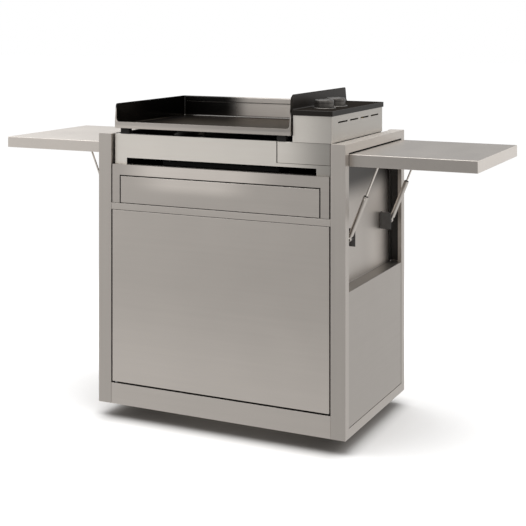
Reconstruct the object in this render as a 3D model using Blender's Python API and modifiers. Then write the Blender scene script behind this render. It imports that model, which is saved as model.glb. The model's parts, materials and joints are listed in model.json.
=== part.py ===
"""Flat top gas griddle on a wheeled cart, built as separate sheet-metal parts.

Metres, +Z up. The origin is on the floor under the middle of the cart, the front faces -Y and the
right-hand side is +X. Both side shelves are modelled open.
"""

import math

import bmesh
import bpy
from mathutils import Matrix, Vector

# Driving dimensions
CART_W = 0.840
CART_D = 0.526
GROUND_GAP = 0.045
CART_TOP = GROUND_GAP + 0.852
SHEET = 0.0015
GAP = 0.0003

POST_W = 0.046
BORDER = 0.028
LIP = 0.012
RAIL_W = 0.040

DOOR_BOTTOM = GROUND_GAP + 0.071
DOOR_TOP = GROUND_GAP + 0.613
DOOR_HALF = 0.3695
DOOR_DEPTH = 0.018
DOOR_PIN_INSET = 0.010
DOOR_PIN_R = 0.003

CROSS_BOTTOM = GROUND_GAP + 0.614
CROSS_TOP = GROUND_GAP + 0.635
DRAWER_BOTTOM = GROUND_GAP + 0.636
DRAWER_TOP = GROUND_GAP + 0.7205
DRAWER_HALF = 0.339
DRAWER_LENGTH = 0.380
DRAWER_OPENING_TOP = GROUND_GAP + 0.724
DRAWER_OPENING_HALF = 0.3425
DECK_TOP = GROUND_GAP + 0.757
FRAME_DEPTH = 0.020

SILL = GROUND_GAP + 0.423
RECESS_DEPTH = 0.044

SHELF_OUT = 0.800
SHELF_THICK = 0.035
SHELF_TOP = GROUND_GAP + 0.8225
SHELF_FRONT = -0.234
SHELF_REAR = 0.229
SHELF_LIP = 0.010
HINGE_X = 0.4155
HINGE_Z = GROUND_GAP + 0.818
HINGE_R = 0.002
KNUCKLE_R = 0.0044

STRUT_LOW = (0.404, GROUND_GAP + 0.567)
STRUT_HIGH = (0.500, GROUND_GAP + 0.800)
STRUT_FRONT_Y = -0.193
STRUT_REAR_Y = 0.177
STUD_REACH = 0.026
BRACKET_OUT = 0.4135
TUBE_LENGTH = 0.140
TUBE_R = 0.0075
ROD_R = 0.003
ROD_LENGTH = 0.148

WHEEL_R = 0.0375
WHEEL_W = 0.024
TRAIL = 0.022
CASTOR_X = 0.285
CASTOR_FRONT_Y = -0.125
CASTOR_REAR_Y = 0.135
CASTOR_TOP = 0.1072
AXLE_R = 0.004

UNIT_FRONT = -0.250
UNIT_HALF = 0.367
UNIT_REAR = 0.192
SPLIT_X = 0.197
SPLIT_GAP = 0.0028
SLOT_HALF = 0.324
SLOT_TOP = GROUND_GAP + 0.7775
STRIP_TOP = GROUND_GAP + 0.7875

PLATE_LEFT = -0.361
PLATE_RIGHT = 0.247
PLATE_FRONT = -0.263
PLATE_REAR = 0.184
PLATE_UNDER = GROUND_GAP + 0.871
PLATE_T = 0.008
PLATE_WALL = 0.004
PLATE_LIP_TOP = GROUND_GAP + 0.891
PLATE_WALL_TOP = GROUND_GAP + 0.948
PLATE_HIGH_TOP = GROUND_GAP + 0.986
DRAIN = (-0.060, -0.238)
DRAIN_R = 0.010

BOX_LEFT = 0.2505
BOX_RIGHT = 0.374
BOX_FRONT = -0.2525
BOX_REAR = 0.182
BOX_TOP = GROUND_GAP + 0.931
COVER_TOP = GROUND_GAP + 0.947
COVER_LEFT = 0.2475
COVER_RIGHT = 0.376
COVER_FRONT = -0.257
COVER_REAR = 0.190
UPSTAND_TOP = GROUND_GAP + 0.992

KNOB_X = 0.306
KNOB_YS = {"front": -0.147, "rear": -0.053}
KNOB_R = 0.0295
KNOB_H = 0.0223
KNOB_LIFT = 0.0037
BEZEL_R = 0.036
SPINDLE_R = 0.004
PIPE_Z = 0.930
PIPE_R = 0.008

TRAY_HALF = 0.200
TRAY_FRONT = -0.240
TRAY_LENGTH = 0.190

PARTS = None
CUTTERS = None


def clear_scene():
    for obj in list(bpy.data.objects):
        bpy.data.objects.remove(obj, do_unlink=True)


def new_collection(name):
    collection = bpy.data.collections.new(name)
    bpy.context.scene.collection.children.link(collection)
    return collection


def file_under(obj, collection):
    for owner in list(obj.users_collection):
        owner.objects.unlink(obj)
    collection.objects.link(obj)


def make_materials():
    finishes = {
        "brushed_steel": ((0.42, 0.39, 0.36, 1.0), 0.36, 1.0),
        "bright_steel": ((0.62, 0.60, 0.57, 1.0), 0.20, 1.0),
        "black_enamel": ((0.010, 0.009, 0.008, 1.0), 0.35, 0.0),
        "polished_plate": ((0.20, 0.19, 0.18, 1.0), 0.18, 1.0),
        "dark_bracket": ((0.09, 0.085, 0.08, 1.0), 0.50, 0.6),
        "knob_black": ((0.030, 0.028, 0.027, 1.0), 0.30, 0.4),
        "wheel_rubber": ((0.025, 0.025, 0.025, 1.0), 0.80, 0.0),
        "zinc": ((0.50, 0.50, 0.50, 1.0), 0.40, 1.0),
        "brass": ((0.55, 0.40, 0.16, 1.0), 0.35, 1.0),
    }
    for name, (colour, roughness, metallic) in finishes.items():
        material = bpy.data.materials.new(name)
        material.use_nodes = True
        shader = material.node_tree.nodes["Principled BSDF"]
        shader.inputs["Base Color"].default_value = colour
        shader.inputs["Roughness"].default_value = roughness
        shader.inputs["Metallic"].default_value = metallic


def paint(obj, finish):
    obj.data.materials.clear()
    obj.data.materials.append(bpy.data.materials[finish])
    return obj


def mesh_object(name, work):
    """A new object holding the bmesh WORK, which is freed."""
    bmesh.ops.recalc_face_normals(work, faces=work.faces)
    mesh = bpy.data.meshes.new(name)
    work.to_mesh(mesh)
    work.free()
    obj = bpy.data.objects.new(name, mesh)
    PARTS.objects.link(obj)
    return obj


def box(name, low, high, skip=None):
    """A box between two corners. SKIP leaves out the faces that look along the listed axes."""
    low, high = [min(a, b) for a, b in zip(low, high)], [max(a, b) for a, b in zip(low, high)]
    size = [b - a for a, b in zip(low, high)]
    middle = [(a + b) / 2 for a, b in zip(low, high)]
    work = bmesh.new()
    bmesh.ops.create_cube(work, size=1.0, matrix=Matrix.Diagonal((*size, 1.0)))
    if skip:
        work.normal_update()
        gone = [f for f in work.faces if any(f.normal.dot(Vector(way)) > 0.9 for way in skip)]
        bmesh.ops.delete(work, geom=gone, context="FACES_ONLY")
    obj = mesh_object(name, work)
    obj.location = middle
    return obj


def solidify(obj, thickness=SHEET):
    """Thickens an open sheet inwards, keeping its outer size."""
    shell = obj.modifiers.new("sheet", "SOLIDIFY")
    shell.thickness = thickness
    shell.offset = -1.0
    shell.use_even_offset = True
    return obj


def pan(name, low, high, open_to, thickness=SHEET):
    """A folded tray or casing, with its outer faces on the box and its open side along OPEN_TO."""
    return solidify(box(name, low, high, skip=open_to), thickness)


def rod(name, start, end, radius, segments=20):
    """A straight round bar between two points."""
    start, end = Vector(start), Vector(end)
    run = end - start
    work = bmesh.new()
    bmesh.ops.create_cone(
        work, cap_ends=True, segments=segments, radius1=radius, radius2=radius, depth=run.length
    )
    obj = mesh_object(name, work)
    obj.data.shade_smooth()
    obj.data.set_sharp_from_angle(angle=math.radians(40))
    obj.matrix_world = Matrix.Translation((start + end) / 2) @ run.to_track_quat("Z", "Y").to_matrix().to_4x4()
    return obj


def plate_outline(name, points, plane, middle, thickness):
    """A flat sheet from an outline of points, lying in the XZ or YZ plane at MIDDLE."""
    curve = bpy.data.curves.new(name, "CURVE")
    curve.dimensions = "2D"
    curve.fill_mode = "BOTH"
    curve.extrude = thickness / 2
    spline = curve.splines.new("POLY")
    spline.points.add(len(points) - 1)
    for point, (a, b) in zip(spline.points, points):
        point.co = (a, b, 0.0, 1.0)
    spline.use_cyclic_u = True
    obj = bpy.data.objects.new(name, curve)
    PARTS.objects.link(obj)
    if plane == "XZ":
        turn, place = Matrix(((1, 0, 0), (0, 0, -1), (0, 1, 0))), Vector((0, middle, 0))
    else:
        turn, place = Matrix(((0, 0, 1), (1, 0, 0), (0, 1, 0))), Vector((middle, 0, 0))
    obj.matrix_world = Matrix.Translation(place) @ turn.to_4x4()
    return to_mesh(obj)


def to_mesh(obj):
    """Turns a curve object into a mesh object with welded caps."""
    bpy.context.view_layer.update()
    name, place = obj.name, obj.matrix_world.copy()
    evaluated = obj.evaluated_get(bpy.context.evaluated_depsgraph_get())
    mesh = bpy.data.meshes.new_from_object(evaluated)
    bpy.data.objects.remove(obj, do_unlink=True)
    work = bmesh.new()
    work.from_mesh(mesh)
    bmesh.ops.remove_doubles(work, verts=work.verts, dist=0.00001)
    made = mesh_object(name, work)
    made.matrix_world = place
    return made


def tube_along(name, points, radius, resolution=2):
    """A round pipe through the points, with closed ends."""
    curve = bpy.data.curves.new(name, "CURVE")
    curve.dimensions = "3D"
    curve.bevel_depth = radius
    curve.bevel_resolution = resolution
    curve.use_fill_caps = True
    spline = curve.splines.new("POLY")
    spline.points.add(len(points) - 1)
    for point, place in zip(spline.points, points):
        point.co = (*place, 1.0)
    obj = bpy.data.objects.new(name, curve)
    PARTS.objects.link(obj)
    obj = to_mesh(obj)
    obj.data.shade_smooth()
    obj.data.set_sharp_from_angle(angle=math.radians(40))
    return obj


def turned(name, profile, centre, segments=32):
    """A body turned about a vertical axis: PROFILE runs down the outer side as (radius, height)."""
    mesh = bpy.data.meshes.new(name)
    work = bmesh.new()
    ring = [work.verts.new((r, 0.0, z)) for r, z in profile]
    for a, b in zip(ring, ring[1:]):
        work.edges.new((a, b))
    if profile[0][0] > 0.0:
        work.edges.new((ring[-1], ring[0]))
    work.to_mesh(mesh)
    work.free()
    obj = bpy.data.objects.new(name, mesh)
    PARTS.objects.link(obj)
    screw = obj.modifiers.new("turn", "SCREW")
    screw.steps = segments
    screw.render_steps = segments
    screw.use_merge_vertices = True
    screw.merge_threshold = 0.00001
    screw.use_smooth_shade = True
    obj.location = centre
    return obj


def boolean(obj, tool, operation):
    """Cuts TOOL from OBJ or joins it on, and files the tool with the cutters."""
    file_under(tool, CUTTERS)
    tool.hide_render = True
    tool.display_type = "WIRE"
    tool.name = obj.name + "_tool"
    step = obj.modifiers.new(operation.lower(), "BOOLEAN")
    step.operation = operation
    step.object = tool
    return obj


def cut(obj, *tools):
    for tool in tools:
        boolean(obj, tool, "DIFFERENCE")
    return obj


def join(obj, *tools):
    for tool in tools:
        boolean(obj, tool, "UNION")
    return obj


def pivot(obj, point):
    """Moves an object's origin to a point on its joint's axis, leaving its shape in place."""
    bpy.context.view_layer.update()
    shift = obj.matrix_world.inverted() @ Vector(point)
    obj.data.transform(Matrix.Translation(-shift))
    obj.matrix_world = obj.matrix_world @ Matrix.Translation(shift)
    return obj


def both(side, x):
    return -x if side == "left" else x


def side_frame(side):
    """One cart end: a folded ring with a front post, a rear post, a top rail and a bottom band."""
    half, outer, inner = CART_D / 2, CART_W / 2, CART_W / 2 - POST_W
    opening = half - BORDER
    low, high = GROUND_GAP + BORDER, CART_TOP - BORDER + 0.0025

    def part(x0, y0, z0, x1, y1, z1):
        return box("tool", (both(side, x0), y0, z0), (both(side, x1), y1, z1))

    ring = part(inner, -half, GROUND_GAP, outer, half, CART_TOP)
    ring.name = side + "_side_frame"
    hollow = part(inner - 0.01, -half + SHEET, GROUND_GAP + SHEET, outer - SHEET, half - SHEET, CART_TOP - SHEET)
    lips = part(outer - LIP, -opening - SHEET, low - SHEET, outer - SHEET / 2, opening + SHEET, high + SHEET)
    inside = part(inner, -half + SHEET / 2, GROUND_GAP + SHEET / 2, inner + SHEET, -opening, CART_TOP - SHEET / 2)
    window = part(inner - 0.02, -opening, low, outer + 0.02, opening, high)
    notch = part(inner - 0.02, -opening, high - 0.001, outer - RAIL_W, opening, CART_TOP + 0.01)
    hinge = rod("tool", (both(side, HINGE_X), -half + 0.010, HINGE_Z), (both(side, HINGE_X), half - 0.010, HINGE_Z),
                HINGE_R + 0.0004, 12)
    cut(ring, hollow)
    join(ring, lips, inside)
    cut(ring, window, notch, hinge)
    return paint(ring, "brushed_steel")


def side_panel(side):
    """The lower skin, the sill above it and the recess wall, folded from one sheet."""
    opening = CART_D / 2 - BORDER - GAP
    outer = CART_W / 2 - 0.0008
    wall = CART_W / 2 - RECESS_DEPTH - SHEET
    low = GROUND_GAP + BORDER + 0.0015
    skin = box(side + "_side_panel", (both(side, outer - SHEET), -opening, low), (both(side, outer), opening, SILL))
    sill = box("tool", (both(side, wall), -opening, SILL - SHEET),
               (both(side, outer - 0.0002), opening, SILL - 0.0001))
    back = box("tool", (both(side, wall), -opening, SILL - SHEET),
               (both(side, wall + SHEET), opening, CART_TOP - 0.029))
    join(skin, sill, back)
    return paint(skin, "brushed_steel")


def cart_body():
    """The fixed sheets between the two side frames."""
    half = CART_D / 2
    inner = CART_W / 2 - POST_W - GAP
    floor = box("base_floor", (-inner, -half + 0.0203, 0.1077), (inner, 0.2465, 0.1092))
    paint(floor, "brushed_steel")
    skirt = pan("front_skirt", (-inner, -half, GROUND_GAP), (inner, -half + 0.020, 0.111),
                [(0, 1, 0)])
    cut(skirt, box("tool", (-inner - 0.01, -half + SHEET, GROUND_GAP + SHEET), (inner + 0.01, 0, 0.1093)))
    hinge_x = -DOOR_HALF + DOOR_PIN_INSET
    paint(skirt, "brushed_steel")
    rear = pan("rear_panel", (-inner, half - 0.015, GROUND_GAP), (inner, half, DECK_TOP), [(0, -1, 0)])
    for i in range(6):
        x = -0.20 + 0.08 * i
        cut(rear, box("tool", (x - 0.025, half - 0.01, 0.140), (x + 0.025, half + 0.01, 0.146)))
    paint(rear, "brushed_steel")
    deck = pan("cart_deck", (-inner, -half + FRAME_DEPTH + GAP, DECK_TOP - 0.014),
               (inner, half - 0.0155, DECK_TOP), [(0, 0, -1)])
    paint(deck, "brushed_steel")
    frame = box("front_frame", (-DOOR_HALF, -half, DRAWER_BOTTOM), (DOOR_HALF, -half + FRAME_DEPTH, DECK_TOP))
    cut(frame,
        box("tool", (-DOOR_HALF + SHEET, -half + SHEET, DRAWER_BOTTOM + SHEET),
            (DOOR_HALF - SHEET, 0, DECK_TOP - SHEET)),
        box("tool", (-DRAWER_OPENING_HALF, -half - 0.01, DRAWER_BOTTOM - 0.01),
            (DRAWER_OPENING_HALF, 0, DRAWER_OPENING_TOP)))
    paint(frame, "brushed_steel")
    cross = pan("cross_rail", (-inner, -half, CROSS_BOTTOM), (inner, -half + FRAME_DEPTH, CROSS_TOP), [(0, 1, 0)])
    cut(cross, rod("tool", (hinge_x, -half + DOOR_PIN_INSET, CROSS_BOTTOM - 0.005),
                   (hinge_x, -half + DOOR_PIN_INSET, CROSS_BOTTOM + 0.005), DOOR_PIN_R + GAP))
    paint(cross, "brushed_steel")
    back = -half + FRAME_DEPTH + GAP
    catch = box("magnet_catch", (0.300, back, CROSS_BOTTOM - 0.020), (0.340, back + 0.0015, CROSS_TOP - 0.0005))
    join(catch, box("tool", (0.306, back - 0.0015, CROSS_BOTTOM - 0.014),
                    (0.334, back + 0.012, CROSS_BOTTOM - 0.004)))
    paint(catch, "zinc")


def door():
    """The cabinet door, a tray folded at its four edges, and the two pins it turns on."""
    half = CART_D / 2
    x, y = -DOOR_HALF + DOOR_PIN_INSET, -half + DOOR_PIN_INSET
    panel = pan("door_panel", (-DOOR_HALF, -half, DOOR_BOTTOM), (DOOR_HALF, -half + DOOR_DEPTH, DOOR_TOP),
                [(0, 1, 0)])
    cut(panel,
        rod("tool", (x, y, DOOR_BOTTOM - 0.005), (x, y, DOOR_BOTTOM + 0.005), DOOR_PIN_R + GAP),
        rod("tool", (x, y, DOOR_TOP - 0.005), (x, y, DOOR_TOP + 0.005), DOOR_PIN_R + GAP))
    pivot(panel, (x, y, DOOR_BOTTOM))
    paint(panel, "brushed_steel")
    seat = GROUND_GAP + 0.066 + GAP
    lower = turned("lower_door_pin", [(0.0, DOOR_BOTTOM + 0.010 - seat), (DOOR_PIN_R, DOOR_BOTTOM + 0.010 - seat),
                                      (DOOR_PIN_R, DOOR_BOTTOM - GAP - seat), (0.0055, DOOR_BOTTOM - GAP - seat),
                                      (0.0055, 0.0), (0.0, 0.0)], (x, y, seat), 20)
    upper = rod("upper_door_pin", (x, y, DOOR_TOP - 0.010), (x, y, CROSS_BOTTOM + 0.008), DOOR_PIN_R)
    for pin in (lower, upper):
        paint(pin, "zinc")


def drawer():
    """The utensil drawer under the griddle, and the runners it slides between."""
    half = CART_D / 2
    front = pan("drawer_front", (-DRAWER_HALF, -half, DRAWER_BOTTOM + 0.0008),
                (DRAWER_HALF, -half + 0.018, DRAWER_TOP), [(0, 1, 0)])
    paint(pivot(front, (0, -half, DRAWER_BOTTOM)), "brushed_steel")
    tray = pan("drawer_box", (-0.326, -half + 0.018 + GAP, DRAWER_BOTTOM + 0.010),
               (0.326, -half + 0.018 + GAP + DRAWER_LENGTH, DRAWER_TOP - 0.010), [(0, 0, 1)])
    paint(pivot(tray, (0, -half, DRAWER_BOTTOM)), "brushed_steel")
    for side in ("left", "right"):
        wall = CART_W / 2 - RECESS_DEPTH - SHEET - GAP
        runner = box(side + "_drawer_runner", (both(side, 0.3265), -0.238, DRAWER_BOTTOM + 0.025),
                     (both(side, 0.3385), 0.150, DRAWER_BOTTOM + 0.055))
        cut(runner, box("tool", (both(side, 0.320), -0.260, DRAWER_BOTTOM + 0.029),
                        (both(side, 0.3365), 0.160, DRAWER_BOTTOM + 0.051)))
        for y in (-0.190, 0.090):
            join(runner, box("tool", (both(side, 0.3375), y, DRAWER_BOTTOM + 0.030),
                             (both(side, wall), y + 0.030, DRAWER_BOTTOM + 0.050)))
        paint(runner, "zinc")


def shelf(side):
    """A fold-down shelf: a folded tray, open below, with two hinge knuckles and two strut guides."""
    root = CART_W / 2 + 0.0005
    under = SHELF_TOP - SHELF_THICK

    def part(x0, y0, z0, x1, y1, z1):
        return box("tool", (both(side, x0), y0, z0), (both(side, x1), y1, z1))

    tray = part(root, SHELF_FRONT, under, SHELF_OUT, SHELF_REAR, SHELF_TOP)
    tray.name = side + "_shelf"
    cut(tray, part(root + SHEET, SHELF_FRONT + SHEET, under + SHEET, SHELF_OUT - SHEET, SHELF_REAR - SHEET,
                   SHELF_TOP - SHEET))
    cut(tray, part(root + SHELF_LIP, SHELF_FRONT + SHELF_LIP, under - 0.01, SHELF_OUT - SHELF_LIP,
                   SHELF_REAR - SHELF_LIP, under + 0.01))
    for y in (SHELF_FRONT + 0.010, SHELF_REAR - 0.040):
        join(tray, rod("tool", (both(side, HINGE_X), y, HINGE_Z), (both(side, HINGE_X), y + 0.030, HINGE_Z),
                       KNUCKLE_R, 24))
        join(tray, part(HINGE_X + 0.001, y, HINGE_Z - 0.0040, root + SHEET / 2, y + 0.030, HINGE_Z + 0.0030))
        cut(tray, rod("tool", (both(side, HINGE_X), y - 0.01, HINGE_Z), (both(side, HINGE_X), y + 0.04, HINGE_Z),
                      HINGE_R + GAP, 12))
    for y in (STRUT_FRONT_Y, STRUT_REAR_Y):
        for edge in (-0.0105, 0.0090):
            join(tray, part(0.462, y + edge, under + 0.006, 0.512, y + edge + SHEET, SHELF_TOP - SHEET / 2))
    pivot(tray, (both(side, HINGE_X), SHELF_FRONT, HINGE_Z))
    paint(tray, "brushed_steel")
    pin = rod(side + "_shelf_hinge_rod", (both(side, HINGE_X), -0.2405, HINGE_Z),
              (both(side, HINGE_X), 0.2405, HINGE_Z), HINGE_R, 12)
    paint(pin, "zinc")


def strut(side, place, y):
    """A telescopic stay: a bracket on the recess wall, a tube that swings and a rod that slides in it."""
    name = side + "_" + place + "_"
    low = Vector((both(side, STRUT_LOW[0]), y, STRUT_LOW[1]))
    high = Vector((both(side, STRUT_HIGH[0]), y, STRUT_HIGH[1]))
    along = (high - low).normalized()
    wall = CART_W / 2 - RECESS_DEPTH + GAP
    outward = 1 if y > 0 else -1
    plate_y = y - outward * STUD_REACH
    bottom, top = low.z - 0.024, low.z + 0.029
    bracket = box(name + "strut_bracket", (both(side, wall), plate_y, bottom),
                  (both(side, wall + 0.002), plate_y + outward * 0.018, top))
    join(bracket,
         box("tool", (both(side, wall + 0.0005), plate_y - 0.001, bottom),
             (both(side, BRACKET_OUT), plate_y + 0.001, top)),
         rod("tool", (low.x, plate_y, low.z), (low.x, y + outward * 0.0092, low.z), 0.0025, 16),
         rod("tool", (low.x, plate_y, low.z), (low.x, y - outward * 0.0059, low.z), 0.0045, 20))
    paint(bracket, "dark_bracket")
    tube = rod(name + "strut_tube", low + along * 0.013, low + along * TUBE_LENGTH, TUBE_R)
    join(tube, rod("tool", low + along * 0.004, low + along * 0.015, 0.0047),
         rod("tool", (low.x, y - 0.0054, low.z), (low.x, y + 0.0054, low.z), 0.0062, 24))
    cut(tube, rod("tool", (low.x, y - 0.01, low.z), (low.x, y + 0.01, low.z), 0.0028, 16),
        rod("tool", low + along * 0.0155, low + along * (TUBE_LENGTH + 0.01), ROD_R + GAP, 16))
    paint(pivot(tube, low), "brushed_steel")
    stem = rod(name + "strut_rod", high - along * ROD_LENGTH, high, ROD_R, 16)
    join(stem, rod("tool", (high.x, y - 0.0065, high.z), (high.x, y + 0.0065, high.z), 0.0032, 16))
    paint(pivot(stem, high), "bright_steel")


def castor(side, place, y, brake):
    """A swivel castor: a fork with its axle, a wheel and, at the front, a brake pedal."""
    x = both(side, CASTOR_X)
    name = side + "_" + place + "_castor_"
    axle = (x, y + TRAIL, WHEEL_R)
    fork = turned(name + "fork", [(0.0, CASTOR_TOP), (0.024, CASTOR_TOP), (0.024, 0.1020), (0.012, 0.0980),
                                  (0.012, 0.0850), (0.0, 0.0850)], (x, y, 0), 24)
    join(fork, box("tool", (x - 0.0165, y - 0.016, 0.084), (x + 0.0165, y + 0.028, 0.087)))
    outline = [(y - 0.016, 0.0865), (y + TRAIL - 0.009, WHEEL_R - 0.006), (y + TRAIL, WHEEL_R - 0.009),
               (y + TRAIL + 0.009, WHEEL_R - 0.006), (y + 0.028, 0.0865)]
    for edge in (-0.0155, 0.0155):
        join(fork, plate_outline("tool", outline, "YZ", x + edge, 0.002))
    reach = 0.0200 if brake else 0.0185
    join(fork, rod("tool", (x - reach, axle[1], WHEEL_R), (x + reach, axle[1], WHEEL_R), AXLE_R, 16))
    paint(pivot(fork, (x, y, CASTOR_TOP)), "zinc")
    wheel = rod(name + "wheel", (x - WHEEL_W / 2, *axle[1:]), (x + WHEEL_W / 2, *axle[1:]), WHEEL_R, 32)
    rim = wheel.modifiers.new("rim", "BEVEL")
    rim.width = 0.0035
    rim.segments = 1
    cut(wheel, rod("tool", (x - 0.02, *axle[1:]), (x + 0.02, *axle[1:]), AXLE_R + GAP, 16))
    paint(wheel, "wheel_rubber")
    if brake:
        pedal = box(name + "brake", (x - 0.0190, axle[1] + 0.0395, 0.046), (x + 0.0190, axle[1] + 0.0560, 0.0485))
        arm = [(axle[1] - 0.007, WHEEL_R - 0.005), (axle[1] + 0.005, WHEEL_R - 0.008),
               (axle[1] + 0.0430, 0.0455), (axle[1] + 0.0430, 0.0480), (axle[1] - 0.003, WHEEL_R + 0.008)]
        for edge in (-0.0180, 0.0180):
            join(pedal, plate_outline("tool", arm, "YZ", x + edge, 0.0015))
        cut(pedal, rod("tool", (x - 0.03, *axle[1:]), (x + 0.03, *axle[1:]), AXLE_R + GAP, 16))
        paint(pivot(pedal, axle), "dark_bracket")


def rounded_corner(corner, radius, start, turn, steps=4):
    """Points of a quarter round whose centre is CORNER, from angle START through TURN degrees."""
    return [(corner[0] + radius * math.cos(math.radians(start + turn * i / steps)),
             corner[1] + radius * math.sin(math.radians(start + turn * i / steps))) for i in range(steps + 1)]


def griddle_plate():
    """The cooking plate: floor, low front lip, two equal walls and a taller wall beside the controls."""
    plate = box("griddle_plate", (PLATE_LEFT, PLATE_FRONT, PLATE_UNDER),
                (PLATE_RIGHT, PLATE_REAR, PLATE_UNDER + PLATE_T))
    step = 0.0001
    lip = box("tool", (PLATE_LEFT + 2 * step, PLATE_FRONT + step, PLATE_UNDER + 0.001),
              (PLATE_RIGHT - 2 * step, PLATE_FRONT + 0.005, PLATE_LIP_TOP))
    rear = box("tool", (PLATE_LEFT + 2 * step, PLATE_REAR - PLATE_WALL, PLATE_UNDER + 0.001),
               (PLATE_RIGHT - 2 * step, PLATE_REAR - step, PLATE_WALL_TOP))
    join(plate, lip, rear)
    near, far = PLATE_FRONT + 2 * step, PLATE_REAR - 2 * step
    def wall(x, top, rear_end):
        slope = 0.006 * (top - PLATE_LIP_TOP) / (PLATE_WALL_TOP - PLATE_LIP_TOP)
        outline = [(near, PLATE_UNDER + 0.0012), (far, PLATE_UNDER + 0.0012)] + rear_end
        outline += rounded_corner((near + slope + 0.008, top - 0.008), 0.008, 90, 84)
        outline += [(near, PLATE_LIP_TOP + step)]
        join(plate, plate_outline("tool", outline, "YZ", x, PLATE_WALL))

    low_top = PLATE_WALL_TOP + step
    wall(PLATE_LEFT + step + PLATE_WALL / 2, low_top, rounded_corner((far - 0.006, low_top - 0.006), 0.006, 0, 90))
    wall(PLATE_RIGHT - step - PLATE_WALL / 2, PLATE_HIGH_TOP,
         [(far, low_top), (0.168, low_top + 0.004), (0.156, PLATE_HIGH_TOP - 0.006), (0.150, PLATE_HIGH_TOP)])
    for x in (-0.3265, 0.2125):
        for y in (-0.243, 0.150):
            join(plate, box("tool", (x - 0.0185, y - 0.010, CART_TOP + 0.0005),
                            (x + 0.0185, y + 0.010, PLATE_UNDER + 0.004)))
    cut(plate, rod("tool", (*DRAIN, 0.90), (*DRAIN, 0.95), DRAIN_R, 20))
    paint(pivot(plate, (0, 0, PLATE_UNDER)), "polished_plate")


def griddle_unit():
    """The fixed parts under the plate: burner pan, fascias, burners and the grease tray."""
    base = DECK_TOP + GAP
    pan_low = SLOT_TOP + 0.0035
    chassis = pan("griddle_chassis", (-0.365, -0.2285, pan_low), (0.365, UNIT_REAR, CART_TOP - 0.0015), [(0, 0, 1)])
    for x in (-0.350, 0.350):
        for y in (-0.2135, 0.177):
            join(chassis, box("tool", (x - 0.0145, y - 0.0145, base),
                              (x + 0.0145, y + 0.0145, pan_low + SHEET / 2)))
    paint(chassis, "black_enamel")

    split = SPLIT_X - SPLIT_GAP / 2
    outline = [(-UNIT_HALF, base), (-SLOT_HALF, base), (-SLOT_HALF, SLOT_TOP), (SLOT_HALF, SLOT_TOP),
               (SLOT_HALF, base), (UNIT_HALF, base), (UNIT_HALF, STRIP_TOP), (split, STRIP_TOP), (split, CART_TOP),
               (-UNIT_HALF, CART_TOP)]
    fascia = plate_outline("main_fascia", outline, "XZ", UNIT_FRONT + SHEET / 2, SHEET)
    join(fascia, box("tool", (-UNIT_HALF, UNIT_FRONT + 0.0005, CART_TOP - SHEET), (split, -0.229, CART_TOP)),
         box("tool", (-UNIT_HALF, UNIT_FRONT + 0.0005, base), (-UNIT_HALF + SHEET, -0.229, CART_TOP - 0.0005)))
    paint(fascia, "brushed_steel")
    control = pan("control_fascia", (SPLIT_X + SPLIT_GAP / 2, UNIT_FRONT, STRIP_TOP + 0.001),
                  (UNIT_HALF, -0.235, CART_TOP), [(0, 1, 0)])
    paint(control, "brushed_steel")

    for place, y in (("front", -0.120), ("rear", 0.080)):
        reach, span, z = 0.270, 0.055, 0.862
        path = [(0.300, y - span, z), (-reach, y - span, z)]
        path += [(-reach - span * math.sin(math.radians(a)), y - span * math.cos(math.radians(a)), z)
                 for a in range(30, 180, 30)]
        path += [(-reach, y + span, z), (0.210, y + span, z)]
        burner = tube_along(place + "_burner", path, 0.011)
        for x in (-0.22, 0.19):
            join(burner, box("tool", (x - 0.006, y - span - 0.006, pan_low + SHEET + GAP),
                             (x + 0.006, y - span + 0.006, z)))
        paint(burner, "bright_steel")

    tray = pan("grease_tray", (-TRAY_HALF, TRAY_FRONT, base + GAP),
               (TRAY_HALF, TRAY_FRONT + TRAY_LENGTH, SLOT_TOP - 0.003), [(0, 0, 1)])
    paint(pivot(tray, (0, TRAY_FRONT, base)), "black_enamel")


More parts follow.
